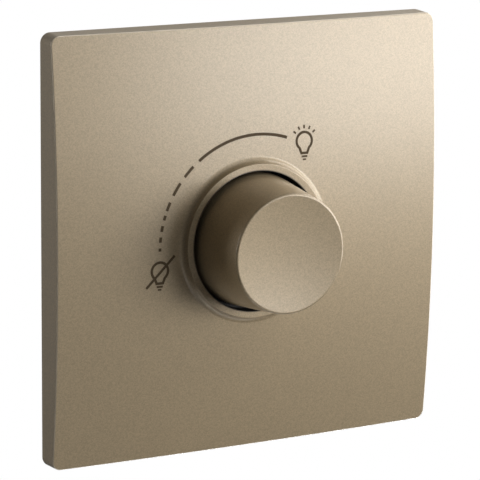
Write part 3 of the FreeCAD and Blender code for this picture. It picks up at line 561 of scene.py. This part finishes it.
@dataclass(frozen=True)
class BandedCase:
    """Lacquered case with colour bands, on tinned leads along Z. Sizes in millimetres."""

    BRIGHT: ClassVar[Colour] = (1.0, 1.0, 1.0)
    DULL: ClassVar[Colour] = (0.0, 0.0, 0.0)

    name: str
    colour: Colour
    bands: tuple[Stop, ...]
    band_width: float
    centre: float
    half_length: float
    roughness: float
    lead_colour: Colour = (0.55, 0.55, 0.56)
    reach: float = 10.0
    lacquer: float = 0.5
    unevenness: float = 0.1

    def level(self, place: float) -> float:
        """A place along the case as a level from 0 to 1."""
        return 0.5 + place / (2 * self.reach)

    def material(self) -> Material:
        """Build the case.

        Returns:
            A material with bands round the case and bright leads beyond it.
        """
        graph = Surface(self.name)
        ends = (self.centre - self.reach, self.centre + self.reach)
        level = graph.rise(graph.along(graph.place, Axis.Z), ends, MM)
        near, far = self.level(-self.half_length), self.level(self.half_length)
        stops: list[Stop] = [(0.0, self.lead_colour), (near, self.colour)]
        for start, colour in self.bands:
            stops += [(self.level(start), colour), (self.level(start + self.band_width), self.colour)]
        stops.append((far, self.lead_colour))
        graph.feed("Base Color", graph.toned(level, stops, sharp=True))
        shine = ((0.0, self.BRIGHT), (near, self.DULL), (far, self.BRIGHT))
        graph.feed("Metallic", graph.toned(level, shine, sharp=True))
        graph.polish(graph.noise(self.lacquer), self.roughness, self.roughness + self.unevenness)
        return graph.material


@dataclass(frozen=True)
class TrackedBoard:
    """Circuit board with copper tracks under its solder mask. Sizes in millimetres."""

    name: str
    mask: Colour
    track: Colour
    paler: float = 1.2
    pitch: float = 5.0
    track_width: float = 0.12
    track_height: float = 0.035
    track_strength: float = 0.6
    lacquer: float = 0.5
    roughness: float = 0.33
    unevenness: float = 0.1

    def material(self) -> Material:
        """Build the board.

        Returns:
            A material with paler tracks that stand slightly proud.
        """
        graph = Surface(self.name)
        tracks = graph.add(
            "ShaderNodeTexBrick",
            Color1=(*self.mask, 1.0),
            Color2=(*shaded(self.mask, self.paler), 1.0),
            Mortar=(*self.track, 1.0),
            Scale=1.0 / (self.pitch * MM),
            Mortar_Size=self.track_width,
        )
        graph.link(graph.turned(rotation=(90.0, 0.0, 0.0)), tracks.inputs["Vector"])
        graph.feed("Base Color", tracks.outputs["Color"])
        graph.polish(graph.noise(self.lacquer), self.roughness, self.roughness + self.unevenness)
        graph.bump(tracks.outputs["Fac"], self.track_height, self.track_strength)
        return graph.material


BROWN: Colour = (0.09, 0.035, 0.012)
BLACK: Colour = (0.012, 0.012, 0.012)
ORANGE: Colour = (0.55, 0.14, 0.01)
GOLD: Colour = (0.45, 0.30, 0.08)
RESISTOR_BANDS: tuple[Stop, ...] = ((-2.1, BROWN), (-0.9, BLACK), (0.3, ORANGE), (1.7, GOLD))
DIODE_BANDS: tuple[Stop, ...] = ((0.9, BLACK),)
SIGN_INK = Ink("sign_ink_brown", (0.110, 0.076, 0.043))
FUSE_CAP_METAL = Metal("fuse_cap_nickel", (0.60, 0.58, 0.54), 0.22)
FUSE_WIRE_METAL = Metal("fuse_wire_tinned", (0.52, 0.52, 0.53), 0.30)
SLOT_FINISHES: dict[str, Finish] = {
    "champagne_paint": Paint("champagne_satin_paint", (0.47, 0.362, 0.219), 0.30, 0.50, 0.28),
    "frame_grey": Moulding("frame_moulding_grey", (0.13, 0.13, 0.135), 0.55),
    "housing_white": Moulding("housing_moulding_white", (0.46, 0.46, 0.44), 0.48),
    "plain_aluminium": Metal("mill_aluminium", (0.62, 0.63, 0.64), 0.34),
    "zinc_steel": Metal("zinc_plated_steel", (0.55, 0.56, 0.58), 0.30),
    "spring_steel": Metal("oiled_spring_steel", (0.28, 0.28, 0.29), 0.35),
    "nickel_brass": Metal("nickel_plated_brass", (0.60, 0.57, 0.51), 0.24),
    "bare_brass": Metal("bare_brass", (0.62, 0.45, 0.17), 0.30),
    "phenolic": Moulding("phenolic_laminate", (0.20, 0.11, 0.04), 0.5),
    "board_green": TrackedBoard("board_solder_mask", (0.015, 0.085, 0.035), (0.03, 0.17, 0.06)),
    "black_moulding": Moulding("black_moulding", (0.02, 0.02, 0.02), 0.5),
    "natural_nylon": Moulding("natural_nylon", (0.62, 0.58, 0.48), 0.4),
    "iron_powder": Moulding("pressed_iron_powder", (0.05, 0.05, 0.055), 0.65),
    "enamelled_copper": Metal("enamelled_copper", (0.50, 0.17, 0.06), 0.28),
    "film_yellow": Moulding("film_case_yellow", (0.55, 0.31, 0.03), 0.4),
    "timing_red": Moulding("timing_case_red", (0.24, 0.03, 0.015), 0.25),
    "fuse_glass": Glass("fuse_glass", (0.90, 0.93, 0.93)),
    "resistor_beige": BandedCase(
        "resistor_lacquer", (0.46, 0.32, 0.16), RESISTOR_BANDS, 0.6, centre=-2.0, half_length=3.25, roughness=0.35
    ),
    "diode_glass": BandedCase(
        "diode_case", (0.03, 0.05, 0.20), DIODE_BANDS, 0.6, centre=-13.0, half_length=2.0, roughness=0.2
    ),
}


def only(kind: type, items: Iterable[object]) -> list:
    """The items of one kind, such as the edges among what an operator made."""
    return [item for item in items if isinstance(item, kind)]


def as_piece(mesh: Mesh, name: str, finish: Material, body: Body) -> bpy.types.Object:
    """Turn a mesh in millimetres into a piece of the switch.

    Args:
        mesh: the shape, which is freed.
        name: the piece's name.
        finish: its material.
        body: the CAD body that it rides on.

    Returns:
        The finished object, at the origin.
    """
    bmesh.ops.scale(mesh, vec=(MM, MM, MM), verts=mesh.verts)
    bmesh.ops.recalc_face_normals(mesh, faces=mesh.faces)
    data = bpy.data.meshes.new(name)
    mesh.to_mesh(data)
    mesh.free()
    data.shade_smooth()
    data.set_sharp_from_angle(angle=SHARP_ANGLE)
    data.materials.append(finish)
    piece = bpy.data.objects.new(name, data)
    bpy.context.scene.collection.objects.link(piece)
    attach(piece, body.value)
    LOG.info("%s: %d faces on %s", name, len(data.polygons), body.value)
    return piece


def box_in_mm(node: str) -> tuple[Vector, Vector]:
    """Lowest and highest corner of a CAD node in millimetres."""
    low, high = (Vector(corner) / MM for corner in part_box(node))
    return low, high


@dataclass
class DomedFront:
    """The plate's front, domed both ways. Sizes in millimetres."""

    crown: float = 7.71
    tall_radius: float = 390.0
    wide_radius: float = 885.0

    def level(self, x: float, z: float) -> float:
        """How far the front stands ahead of the wall.

        Args:
            x: place across the plate.
            z: place up the plate.

        Returns:
            The level in millimetres.
        """
        sag = self.tall_radius - math.sqrt(self.tall_radius**2 - z * z)
        reach = self.wide_radius - sag
        return math.sqrt(reach * reach - x * x) - (self.wide_radius - self.crown)


@dataclass
class PrintedSigns:
    """The signs printed round the knob: growing arc, lit lamp and crossed-out lamp. Sizes in millimetres."""

    front: DomedFront
    finish: Material
    ink_film: float = 0.02
    ink_sink: float = 0.06
    step: float = 0.35
    fewest_steps: int = 3
    long_edge: float = 0.7
    long_edge_cuts: int = 3
    mitre_limit: float = 0.5
    arc_centre: Place = (0.486, -0.29)
    arc_radius: float = 21.5
    arc_width: float = 0.60
    arc_spans: tuple[Span, ...] = (
        (71.4, 126.8),
        (131.1, 138.4),
        (142.3, 149.8),
        (153.6, 158.4),
        (160.9, 163.5),
        (166.5, 169.6),
        (172.5, 175.3),
        (178.3, 180.0),
    )
    lit_lamp: Place = (11.31, 19.10)
    off_lamp: Place = (-21.00, -4.25)
    outline_width: float = 0.52
    bulb_radius: float = 1.765
    bulb_opening: float = 52.0
    neck_half: float = 0.68
    neck_drop: float = 2.45
    # How far each bar lies below the bulb's centre, half its length, and its width.
    base_bars: tuple[Triple, ...] = ((3.12, 0.66, 0.40), (3.72, 0.38, 0.34))
    ray_angles: tuple[float, ...] = (39.0, 65.0, 90.0, 115.0, 140.0)
    ray_reach: Span = (2.48, 3.20)
    ray_width: float = 0.38
    slash: tuple[Place, Place] = ((-17.81, -1.41), (-23.92, -7.51))

    def stroke(self, mesh: Mesh, path: Sequence[Place], width: float, closed: bool = False) -> None:
        """Lay a line of ink along a path on the front.

        Args:
            mesh: the mesh that takes it.
            path: places across and up the plate.
            width: the line's width.
            closed: whether the path runs back to its start.
        """
        points = [Vector((x, 0.0, z)) for x, z in path]
        last = len(points) - 1
        rungs = []
        for index, point in enumerate(points):
            before = point - points[index - 1] if index or closed else points[1] - point
            after = points[(index + 1) % len(points)] - point if index < last or closed else before
            before, after = before.normalized(), after.normalized()
            along = (before + after).normalized()
            side = Vector((-along.z, 0.0, along.x)) * width / 2 / max(along.dot(before), self.mitre_limit)
            rungs.append((point + side, point - side))
        first = edge = mesh.edges.new([mesh.verts.new(place) for place in rungs[0]])
        for rung in rungs[1:]:
            edge = self.extruded(mesh, edge, rung)
        if closed:
            bmesh.ops.bridge_loops(mesh, edges=[edge, first])

    @staticmethod
    def extruded(mesh: Mesh, edge: Edge, rung: tuple[Vector, Vector]) -> Edge:
        """Extrude an edge to a rung of the line.

        Args:
            mesh: the mesh.
            edge: the line's open end.
            rung: the two places that the new edge takes.

        Returns:
            The new open end.
        """
        old = list(edge.verts)
        fresh = set(only(Vertex, bmesh.ops.extrude_edge_only(mesh, edges=[edge])["geom"]))
        pair = [next(e.other_vert(v) for e in v.link_edges if e.other_vert(v) in fresh) for v in old]
        for vertex, place in zip(pair, rung):
            vertex.co = place
        return mesh.edges.get(pair)

    def arc(self, centre: Place, radius: float, start: float, end: float) -> list[Place]:
        """Places along an arc.

        Args:
            centre: the arc's centre.
            radius: its radius.
            start: angle of its start in degrees, from +X towards +Z.
            end: angle of its end.

        Returns:
            The places, a step apart.
        """
        sweep = math.radians(end - start)
        steps = max(self.fewest_steps, round(abs(sweep) * radius / self.step))
        angles = [math.radians(start) + sweep * index / steps for index in range(steps + 1)]
        return [(centre[0] + radius * math.cos(a), centre[1] + radius * math.sin(a)) for a in angles]

    def lamp(self, mesh: Mesh, centre: Place) -> None:
        """Print a lamp: bulb outline, neck and two base bars.

        Args:
            mesh: the mesh that takes it.
            centre: the bulb's centre.
        """
        x, z = centre
        bulb = self.arc(centre, self.bulb_radius, -self.bulb_opening, 180.0 + self.bulb_opening)
        neck = [(x - self.neck_half, z - self.neck_drop), (x + self.neck_half, z - self.neck_drop)]
        self.stroke(mesh, [*bulb, *neck], self.outline_width, closed=True)
        for drop, half, width in self.base_bars:
            self.stroke(mesh, [(x - half, z - drop), (x + half, z - drop)], width)

    def rays(self, mesh: Mesh, centre: Place) -> None:
        """Print short rays round a lamp's bulb.

        Args:
            mesh: the mesh that takes them.
            centre: the bulb's centre.
        """
        for angle in self.ray_angles:
            out = Vector((math.cos(math.radians(angle)), math.sin(math.radians(angle))))
            ends = [tuple(Vector(centre) + out * reach) for reach in self.ray_reach]
            self.stroke(mesh, ends, self.ray_width)

    def ink_piece(self, mesh: Mesh, name: str) -> None:
        """Set the flat ink on the domed front, thicken it and make it a piece.

        Args:
            mesh: ink drawn flat at Y 0.
            name: the piece's name.
        """
        edges = [edge for edge in mesh.edges if edge.calc_length() > self.long_edge]
        bmesh.ops.subdivide_edges(mesh, edges=edges, cuts=self.long_edge_cuts)
        for vertex in mesh.verts:
            vertex.co.y = -(self.front.level(vertex.co.x, vertex.co.z) + self.ink_film)
        bmesh.ops.recalc_face_normals(mesh, faces=mesh.faces)
        if sum(face.normal.y for face in mesh.faces) > 0:
            bmesh.ops.reverse_faces(mesh, faces=mesh.faces)
        bmesh.ops.solidify(mesh, geom=mesh.faces, thickness=self.ink_film + self.ink_sink)
        as_piece(mesh, name, self.finish, Body.SWITCH)

    def build(self) -> None:
        """Print the arc and the two lamps."""
        growing_arc = bmesh.new()
        for start, end in self.arc_spans:
            self.stroke(growing_arc, self.arc(self.arc_centre, self.arc_radius, start, end), self.arc_width)
        self.ink_piece(growing_arc, "sign_growing_arc")
        lit = bmesh.new()
        self.lamp(lit, self.lit_lamp)
        self.rays(lit, self.lit_lamp)
        self.ink_piece(lit, "sign_lamp_on")
        crossed = bmesh.new()
        self.lamp(crossed, self.off_lamp)
        self.stroke(crossed, self.slash, self.outline_width)
        self.ink_piece(crossed, "sign_lamp_off")


@dataclass
class ChokeWinding:
    """Turns of enamelled wire round the choke's ring core. Sizes in millimetres."""

    NODE: ClassVar[str] = "choke_winding"
    CORE: ClassVar[str] = "choke_core"

    finish: Material
    core_hole: float = 5.0
    wire: float = 0.8
    lift: float = 0.05
    weld: float = 0.01
    turns: int = 28
    start: float = 65.0
    end: float = 355.0
    wire_sides: int = 8
    bend_steps: int = 3

    def run(self, mesh: Mesh, ring: list[Edge], step: Vector) -> list[Edge]:
        """Take the wire straight on.

        Args:
            mesh: the mesh.
            ring: the wire's open end.
            step: how far it goes.

        Returns:
            The new open end.
        """
        made = bmesh.ops.extrude_edge_only(mesh, edges=ring)["geom"]
        fresh = only(Vertex, made)
        bmesh.ops.translate(mesh, vec=step, verts=fresh)
        return [edge for edge in only(Edge, made) if set(edge.verts) <= set(fresh)]

    def bend(self, mesh: Mesh, ring: list[Edge], centre: Vector) -> list[Edge]:
        """Take the wire round a corner of the core.

        Args:
            mesh: the mesh.
            ring: the wire's open end.
            centre: the corner's centre.

        Returns:
            The new open end.
        """
        verts = list(dict.fromkeys(vertex for edge in ring for vertex in edge.verts))
        made = bmesh.ops.spin(
            mesh,
            geom=[*verts, *ring],
            cent=centre,
            axis=(0.0, 0.0, 1.0),
            angle=math.pi / 2,
            steps=self.bend_steps,
        )
        return only(Edge, made["geom_last"])

    def turn(self, mesh: Mesh, inner: float, outer: float, front: float, back: float) -> None:
        """Make one turn of wire, in the plane of X and Y.

        Args:
            mesh: the mesh that takes it.
            inner: the core's hole radius.
            outer: the core's outer radius.
            front: Y of the core's near face.
            back: Y of the core's far face.
        """
        stand = self.wire / 2 + self.lift
        bmesh.ops.create_circle(mesh, segments=self.wire_sides, radius=self.wire / 2)
        bmesh.ops.rotate(mesh, verts=mesh.verts, cent=(0, 0, 0), matrix=Matrix.Rotation(math.pi / 2, 3, "X"))
        bmesh.ops.translate(mesh, vec=(outer + stand, front, 0.0), verts=mesh.verts)
        ring = list(mesh.edges)
        corners = [Vector((x, y, 0.0)) for x, y in ((outer, back), (inner, back), (inner, front), (outer, front))]
        before = corners[-1]
        for corner in corners:
            ring = self.run(mesh, ring, corner - before)
            ring = self.bend(mesh, ring, corner)
            before = corner
        bmesh.ops.remove_doubles(mesh, verts=mesh.verts, dist=self.weld)

    def build(self) -> None:
        """Wind the choke and stand for the plain winding."""
        low, high = box_in_mm(self.CORE)
        centre = (low + high) / 2
        mesh = bmesh.new()
        self.turn(mesh, self.core_hole, (high.x - low.x) / 2, low.y, high.y)
        axis = Vector((0.0, -1.0, 0.0))
        start = Matrix.Rotation(math.radians(self.start), 3, axis)
        bmesh.ops.rotate(mesh, verts=mesh.verts, cent=(0, 0, 0), matrix=start)
        bmesh.ops.translate(mesh, vec=(centre.x, 0.0, centre.z), verts=mesh.verts)
        bmesh.ops.spin(
            mesh,
            geom=[*mesh.verts, *mesh.edges, *mesh.faces],
            cent=centre,
            axis=axis,
            angle=math.radians(self.end - self.start),
            steps=self.turns - 1,
            use_duplicate=True,
        )
        piece = as_piece(mesh, "choke_turns", self.finish, Body.SWITCH)
        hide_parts(self.NODE)


@dataclass
class GlassFuse:
    """Glass tube, pressed metal caps and the wire between them. Sizes in millimetres."""

    NODE: ClassVar[str] = "fuse"

    glass: Material
    cap_metal: Material
    wire_metal: Material
    glass_inset: float = 0.15
    glass_wall: float = 0.5
    cap_length: float = 5.0
    cap_wall: float = 0.13
    cap_round: float = 0.35
    wire_radius: float = 0.12
    sides: int = 40
    weld: float = 0.012

    def turned(self, outline: Sequence[Place], closed: bool = False) -> Mesh:
        """Turn an outline round Z.

        Args:
            outline: radius and height of each corner.
            closed: whether the outline runs back to its start.

        Returns:
            The turned shape, with its poles merged.
        """
        mesh = bmesh.new()
        verts = [mesh.verts.new((radius, 0.0, height)) for radius, height in outline]
        pairs = list(zip(verts, verts[1:]))
        if closed:
            pairs.append((verts[-1], verts[0]))
        edges = [mesh.edges.new(pair) for pair in pairs]
        bmesh.ops.spin(
            mesh,
            geom=[*verts, *edges],
            cent=(0, 0, 0),
            axis=(0, 0, 1),
            angle=math.tau,
            steps=self.sides,
            use_merge=True,
        )
        bmesh.ops.remove_doubles(mesh, verts=mesh.verts, dist=self.weld)
        return mesh

    def placed(self, mesh: Mesh, name: str, finish: Material) -> None:
        """Set a turned shape on the fuse's axis as a piece.

        Args:
            mesh: the shape, on the Z axis.
            name: the piece's name.
            finish: its material.
        """
        low, high = box_in_mm(self.NODE)
        bmesh.ops.translate(mesh, vec=(low + high) / 2, verts=mesh.verts)
        piece = as_piece(mesh, name, finish, Body.SWITCH)
        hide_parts(self.NODE)

    def tube(self, radius: float, end: float) -> Mesh:
        """The glass tube.

        Args:
            radius: the fuse's radius.
            end: height of the tube's ends.

        Returns:
            The tube, on the Z axis.
        """
        outer = radius - self.glass_inset
        hole = outer - self.glass_wall
        return self.turned([(outer, -end), (outer, end), (hole, end), (hole, -end)], closed=True)

    def caps(self, radius: float, end: float) -> Mesh:
        """The two caps, with rounded rims.

        Args:
            radius: the fuse's radius.
            end: height of the fuse's ends.

        Returns:
            Both caps, on the Z axis.
        """
        lip = end - self.cap_length
        bore, floor = radius - self.cap_wall, end - self.cap_wall
        outline = [(0.0, end), (radius - self.cap_round, end), (radius, end - self.cap_round), (radius, lip)]
        mesh = self.turned([*outline, (bore, lip), (bore, floor), (0.0, floor)])
        every = [*mesh.verts, *mesh.edges, *mesh.faces]
        bmesh.ops.mirror(mesh, geom=every, merge_dist=0.0, axis="Z")
        return mesh

    def wire(self, end: float) -> Mesh:
        """The wire between the caps, whose ends lie at one height."""
        radius = self.wire_radius
        return self.turned([(0.0, end), (radius, end), (radius, -end), (0.0, -end)])

    def build(self) -> None:
        """Make the tube, the caps and the wire, and stand for the plain fuse."""
        low, high = box_in_mm(self.NODE)
        radius, half = (high.x - low.x) / 2, (high.z - low.z) / 2
        inner = half - 2 * self.cap_wall
        self.placed(self.tube(radius, inner), "fuse_tube", self.glass)
        self.placed(self.caps(radius, half), "fuse_caps", self.cap_metal)
        self.placed(self.wire(inner), "fuse_wire", self.wire_metal)


@dataclass
class CadPieces:
    """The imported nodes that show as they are."""

    nodes: dict[str, bpy.types.Object]
    slots: dict[str, str]

    def dress(self, finishes: dict[str, Material]) -> None:
        """Give every node the finish of its slot.

        Args:
            finishes: material for each slot.
        """
        for name, node in self.nodes.items():
            finish = finishes[self.slots[name]]
            node.data.materials.clear()
            node.data.materials.append(finish)
            LOG.info("%s: %s", name, finish.name)


@dataclass(frozen=True)
class Softbox:
    """A soft lamp that faces the switch. Degrees, metres and watts; azimuth 0 is in front, 90 at the right."""

    name: str
    azimuth: float
    elevation: float
    distance: float
    width: float
    height: float
    power: float

    def hang(self) -> None:
        """Put the lamp in its place."""
        data = bpy.data.lights.new(self.name, "AREA")
        data.shape = "RECTANGLE"
        data.size = self.width
        data.size_y = self.height
        data.energy = self.power
        lamp = bpy.data.objects.new(self.name, data)
        turn = Euler((math.radians(-self.elevation), 0.0, math.radians(self.azimuth)))
        out = turn.to_matrix() @ Vector((0.0, -1.0, 0.0))
        lamp.location = out * self.distance
        lamp.rotation_euler = out.to_track_quat("Z", "Y").to_euler()
        bpy.context.scene.collection.objects.link(lamp)


@dataclass
class Studio:
    """Camera, soft lamps, white backdrop and floor. Sizes in metres, the camera's turn in degrees."""

    WHITE: ClassVar[tuple[float, ...]] = (1.0, 1.0, 1.0, 1.0)
    CAMERA_PLACE: ClassVar[Triple] = (-0.261212, -0.474995, 0.116599)
    CAMERA_TURN: ClassVar[Triple] = (77.71487, -0.58621, -28.76271)
    LENS: ClassVar[float] = 207.0632
    SENSOR: ClassVar[float] = 36.0
    NEAREST: ClassVar[float] = 0.01
    LAMPS: ClassVar[tuple[Softbox, ...]] = (
        Softbox("key_softbox", 41.0, 3.6, 1.0, 0.64, 0.34, 4.75),
        Softbox("front_fill", 12.0, 24.0, 1.0, 0.40, 0.40, 0.3),
        Softbox("low_fill", 0.0, -32.0, 1.0, 0.40, 0.40, 0.35),
        Softbox("right_softbox", 85.0, 15.0, 1.0, 0.80, 1.40, 11.0),
        Softbox("top_edge_lamp", 25.0, 45.0, 1.0, 0.50, 0.15, 0.8),
        Softbox("left_edge_lamp", -113.0, 10.0, 1.0, 0.15, 0.50, 1.5),
        Softbox("high_back_softbox", 130.0, 40.0, 1.0, 0.50, 0.50, 2.5),
        Softbox("low_back_softbox", 135.0, -35.0, 1.0, 0.50, 0.50, 6.0),
    )

    # The room's light ahead of the switch and behind it, and where along Y it turns to the backdrop.
    front_level: float = 0.02
    back_level: float = 0.08
    room_turn: Span = (-0.2, 0.2)
    backdrop_turn: Span = (0.85, 1.0)
    floor_level: float = -1.10
    floor_radius: float = 0.65
    floor_sides: int = 96
    floor_tones: Span = (0.80, 0.84)
    floor_cloud_mm: float = 40.0
    floor_roughness: float = 0.9
    floor_glow: float = 0.4

    def camera(self) -> None:
        """Set the camera where the photograph was taken from."""
        data = bpy.data.cameras.new("camera")
        data.lens = self.LENS
        data.sensor_width = self.SENSOR
        data.clip_start = self.NEAREST
        camera = bpy.data.objects.new("camera", data)
        camera.location = self.CAMERA_PLACE
        camera.rotation_euler = Euler([math.radians(angle) for angle in self.CAMERA_TURN])
        bpy.context.scene.collection.objects.link(camera)
        bpy.context.scene.camera = camera

    def surroundings(self) -> None:
        """A white backdrop, which shiny and clear pieces show behind the switch, and a dim room."""
        world = bpy.data.worlds.new("studio")
        bpy.context.scene.world = world
        world.use_nodes = True
        graph = NodeGraph(world.node_tree)
        depth = graph.along(graph.add("ShaderNodeTexCoord").outputs["Generated"], Axis.Y)
        straight, shown = graph.seen()
        behind = graph.rise(depth, self.backdrop_turn)
        white = graph.combined(Join.EITHER, straight, graph.combined(Join.BOTH, shown, behind))
        backdrop = graph.add("ShaderNodeBackground", Color=self.WHITE, Strength=1.0)
        room = graph.add("ShaderNodeBackground", Color=self.WHITE)
        graph.link(graph.between(depth, self.front_level, self.back_level, self.room_turn), room.inputs["Strength"])
        blend = graph.add("ShaderNodeMixShader")
        graph.link(white, blend.inputs["Fac"])
        graph.link(room.outputs["Background"], blend.inputs[1])
        graph.link(backdrop.outputs["Background"], blend.inputs[2])
        output = graph.add("ShaderNodeOutputWorld")
        graph.link(blend.outputs["Shader"], output.inputs["Surface"])

    def floor_paper(self) -> Material:
        """Build the floor's pale paper.

        Returns:
            A dull white material, lifted where it is seen so that it stays pale under the dim room.
        """
        graph = Surface("floor_paper")
        graph.stain(graph.noise(self.floor_cloud_mm), *((tone, tone, tone) for tone in self.floor_tones))
        graph.feed("Emission Strength", graph.scaled(graph.combined(Join.EITHER, *graph.seen()), self.floor_glow))
        graph.set(Roughness=self.floor_roughness, Emission_Color=self.WHITE)
        return graph.material

    def floor(self) -> None:
        """Lay a pale round floor at a switch's usual height below it."""
        mesh = bmesh.new()
        bmesh.ops.create_circle(mesh, cap_ends=True, segments=self.floor_sides, radius=self.floor_radius)
        bmesh.ops.translate(mesh, vec=(0.0, 0.0, self.floor_level), verts=mesh.verts)
        data = bpy.data.meshes.new("floor")
        mesh.to_mesh(data)
        mesh.free()
        data.materials.append(self.floor_paper())
        floor = bpy.data.objects.new("floor", data)
        bpy.context.scene.collection.objects.link(floor)

    def build(self) -> None:
        """Set up the whole studio."""
        self.camera()
        for lamp in self.LAMPS:
            lamp.hang()
        self.surroundings()
        self.floor()
        bpy.context.scene.view_settings.view_transform = "Standard"


def main() -> None:
    """Dress the switch and set the studio round it."""
    logging.basicConfig(level=logging.INFO, format="%(name)s %(message)s")
    slots = {part["node"]: part["material_slot"] for part in frame["record"]["subparts"]}
    finishes = {slot: finish.material() for slot, finish in SLOT_FINISHES.items()}
    CadPieces(frame["nodes"], slots).dress(finishes)
    PrintedSigns(DomedFront(), SIGN_INK.material()).build()
    ChokeWinding(finishes["enamelled_copper"]).build()
    GlassFuse(finishes["fuse_glass"], FUSE_CAP_METAL.material(), FUSE_WIRE_METAL.material()).build()
    Studio().build()


if __name__ == "__main__":
    main()
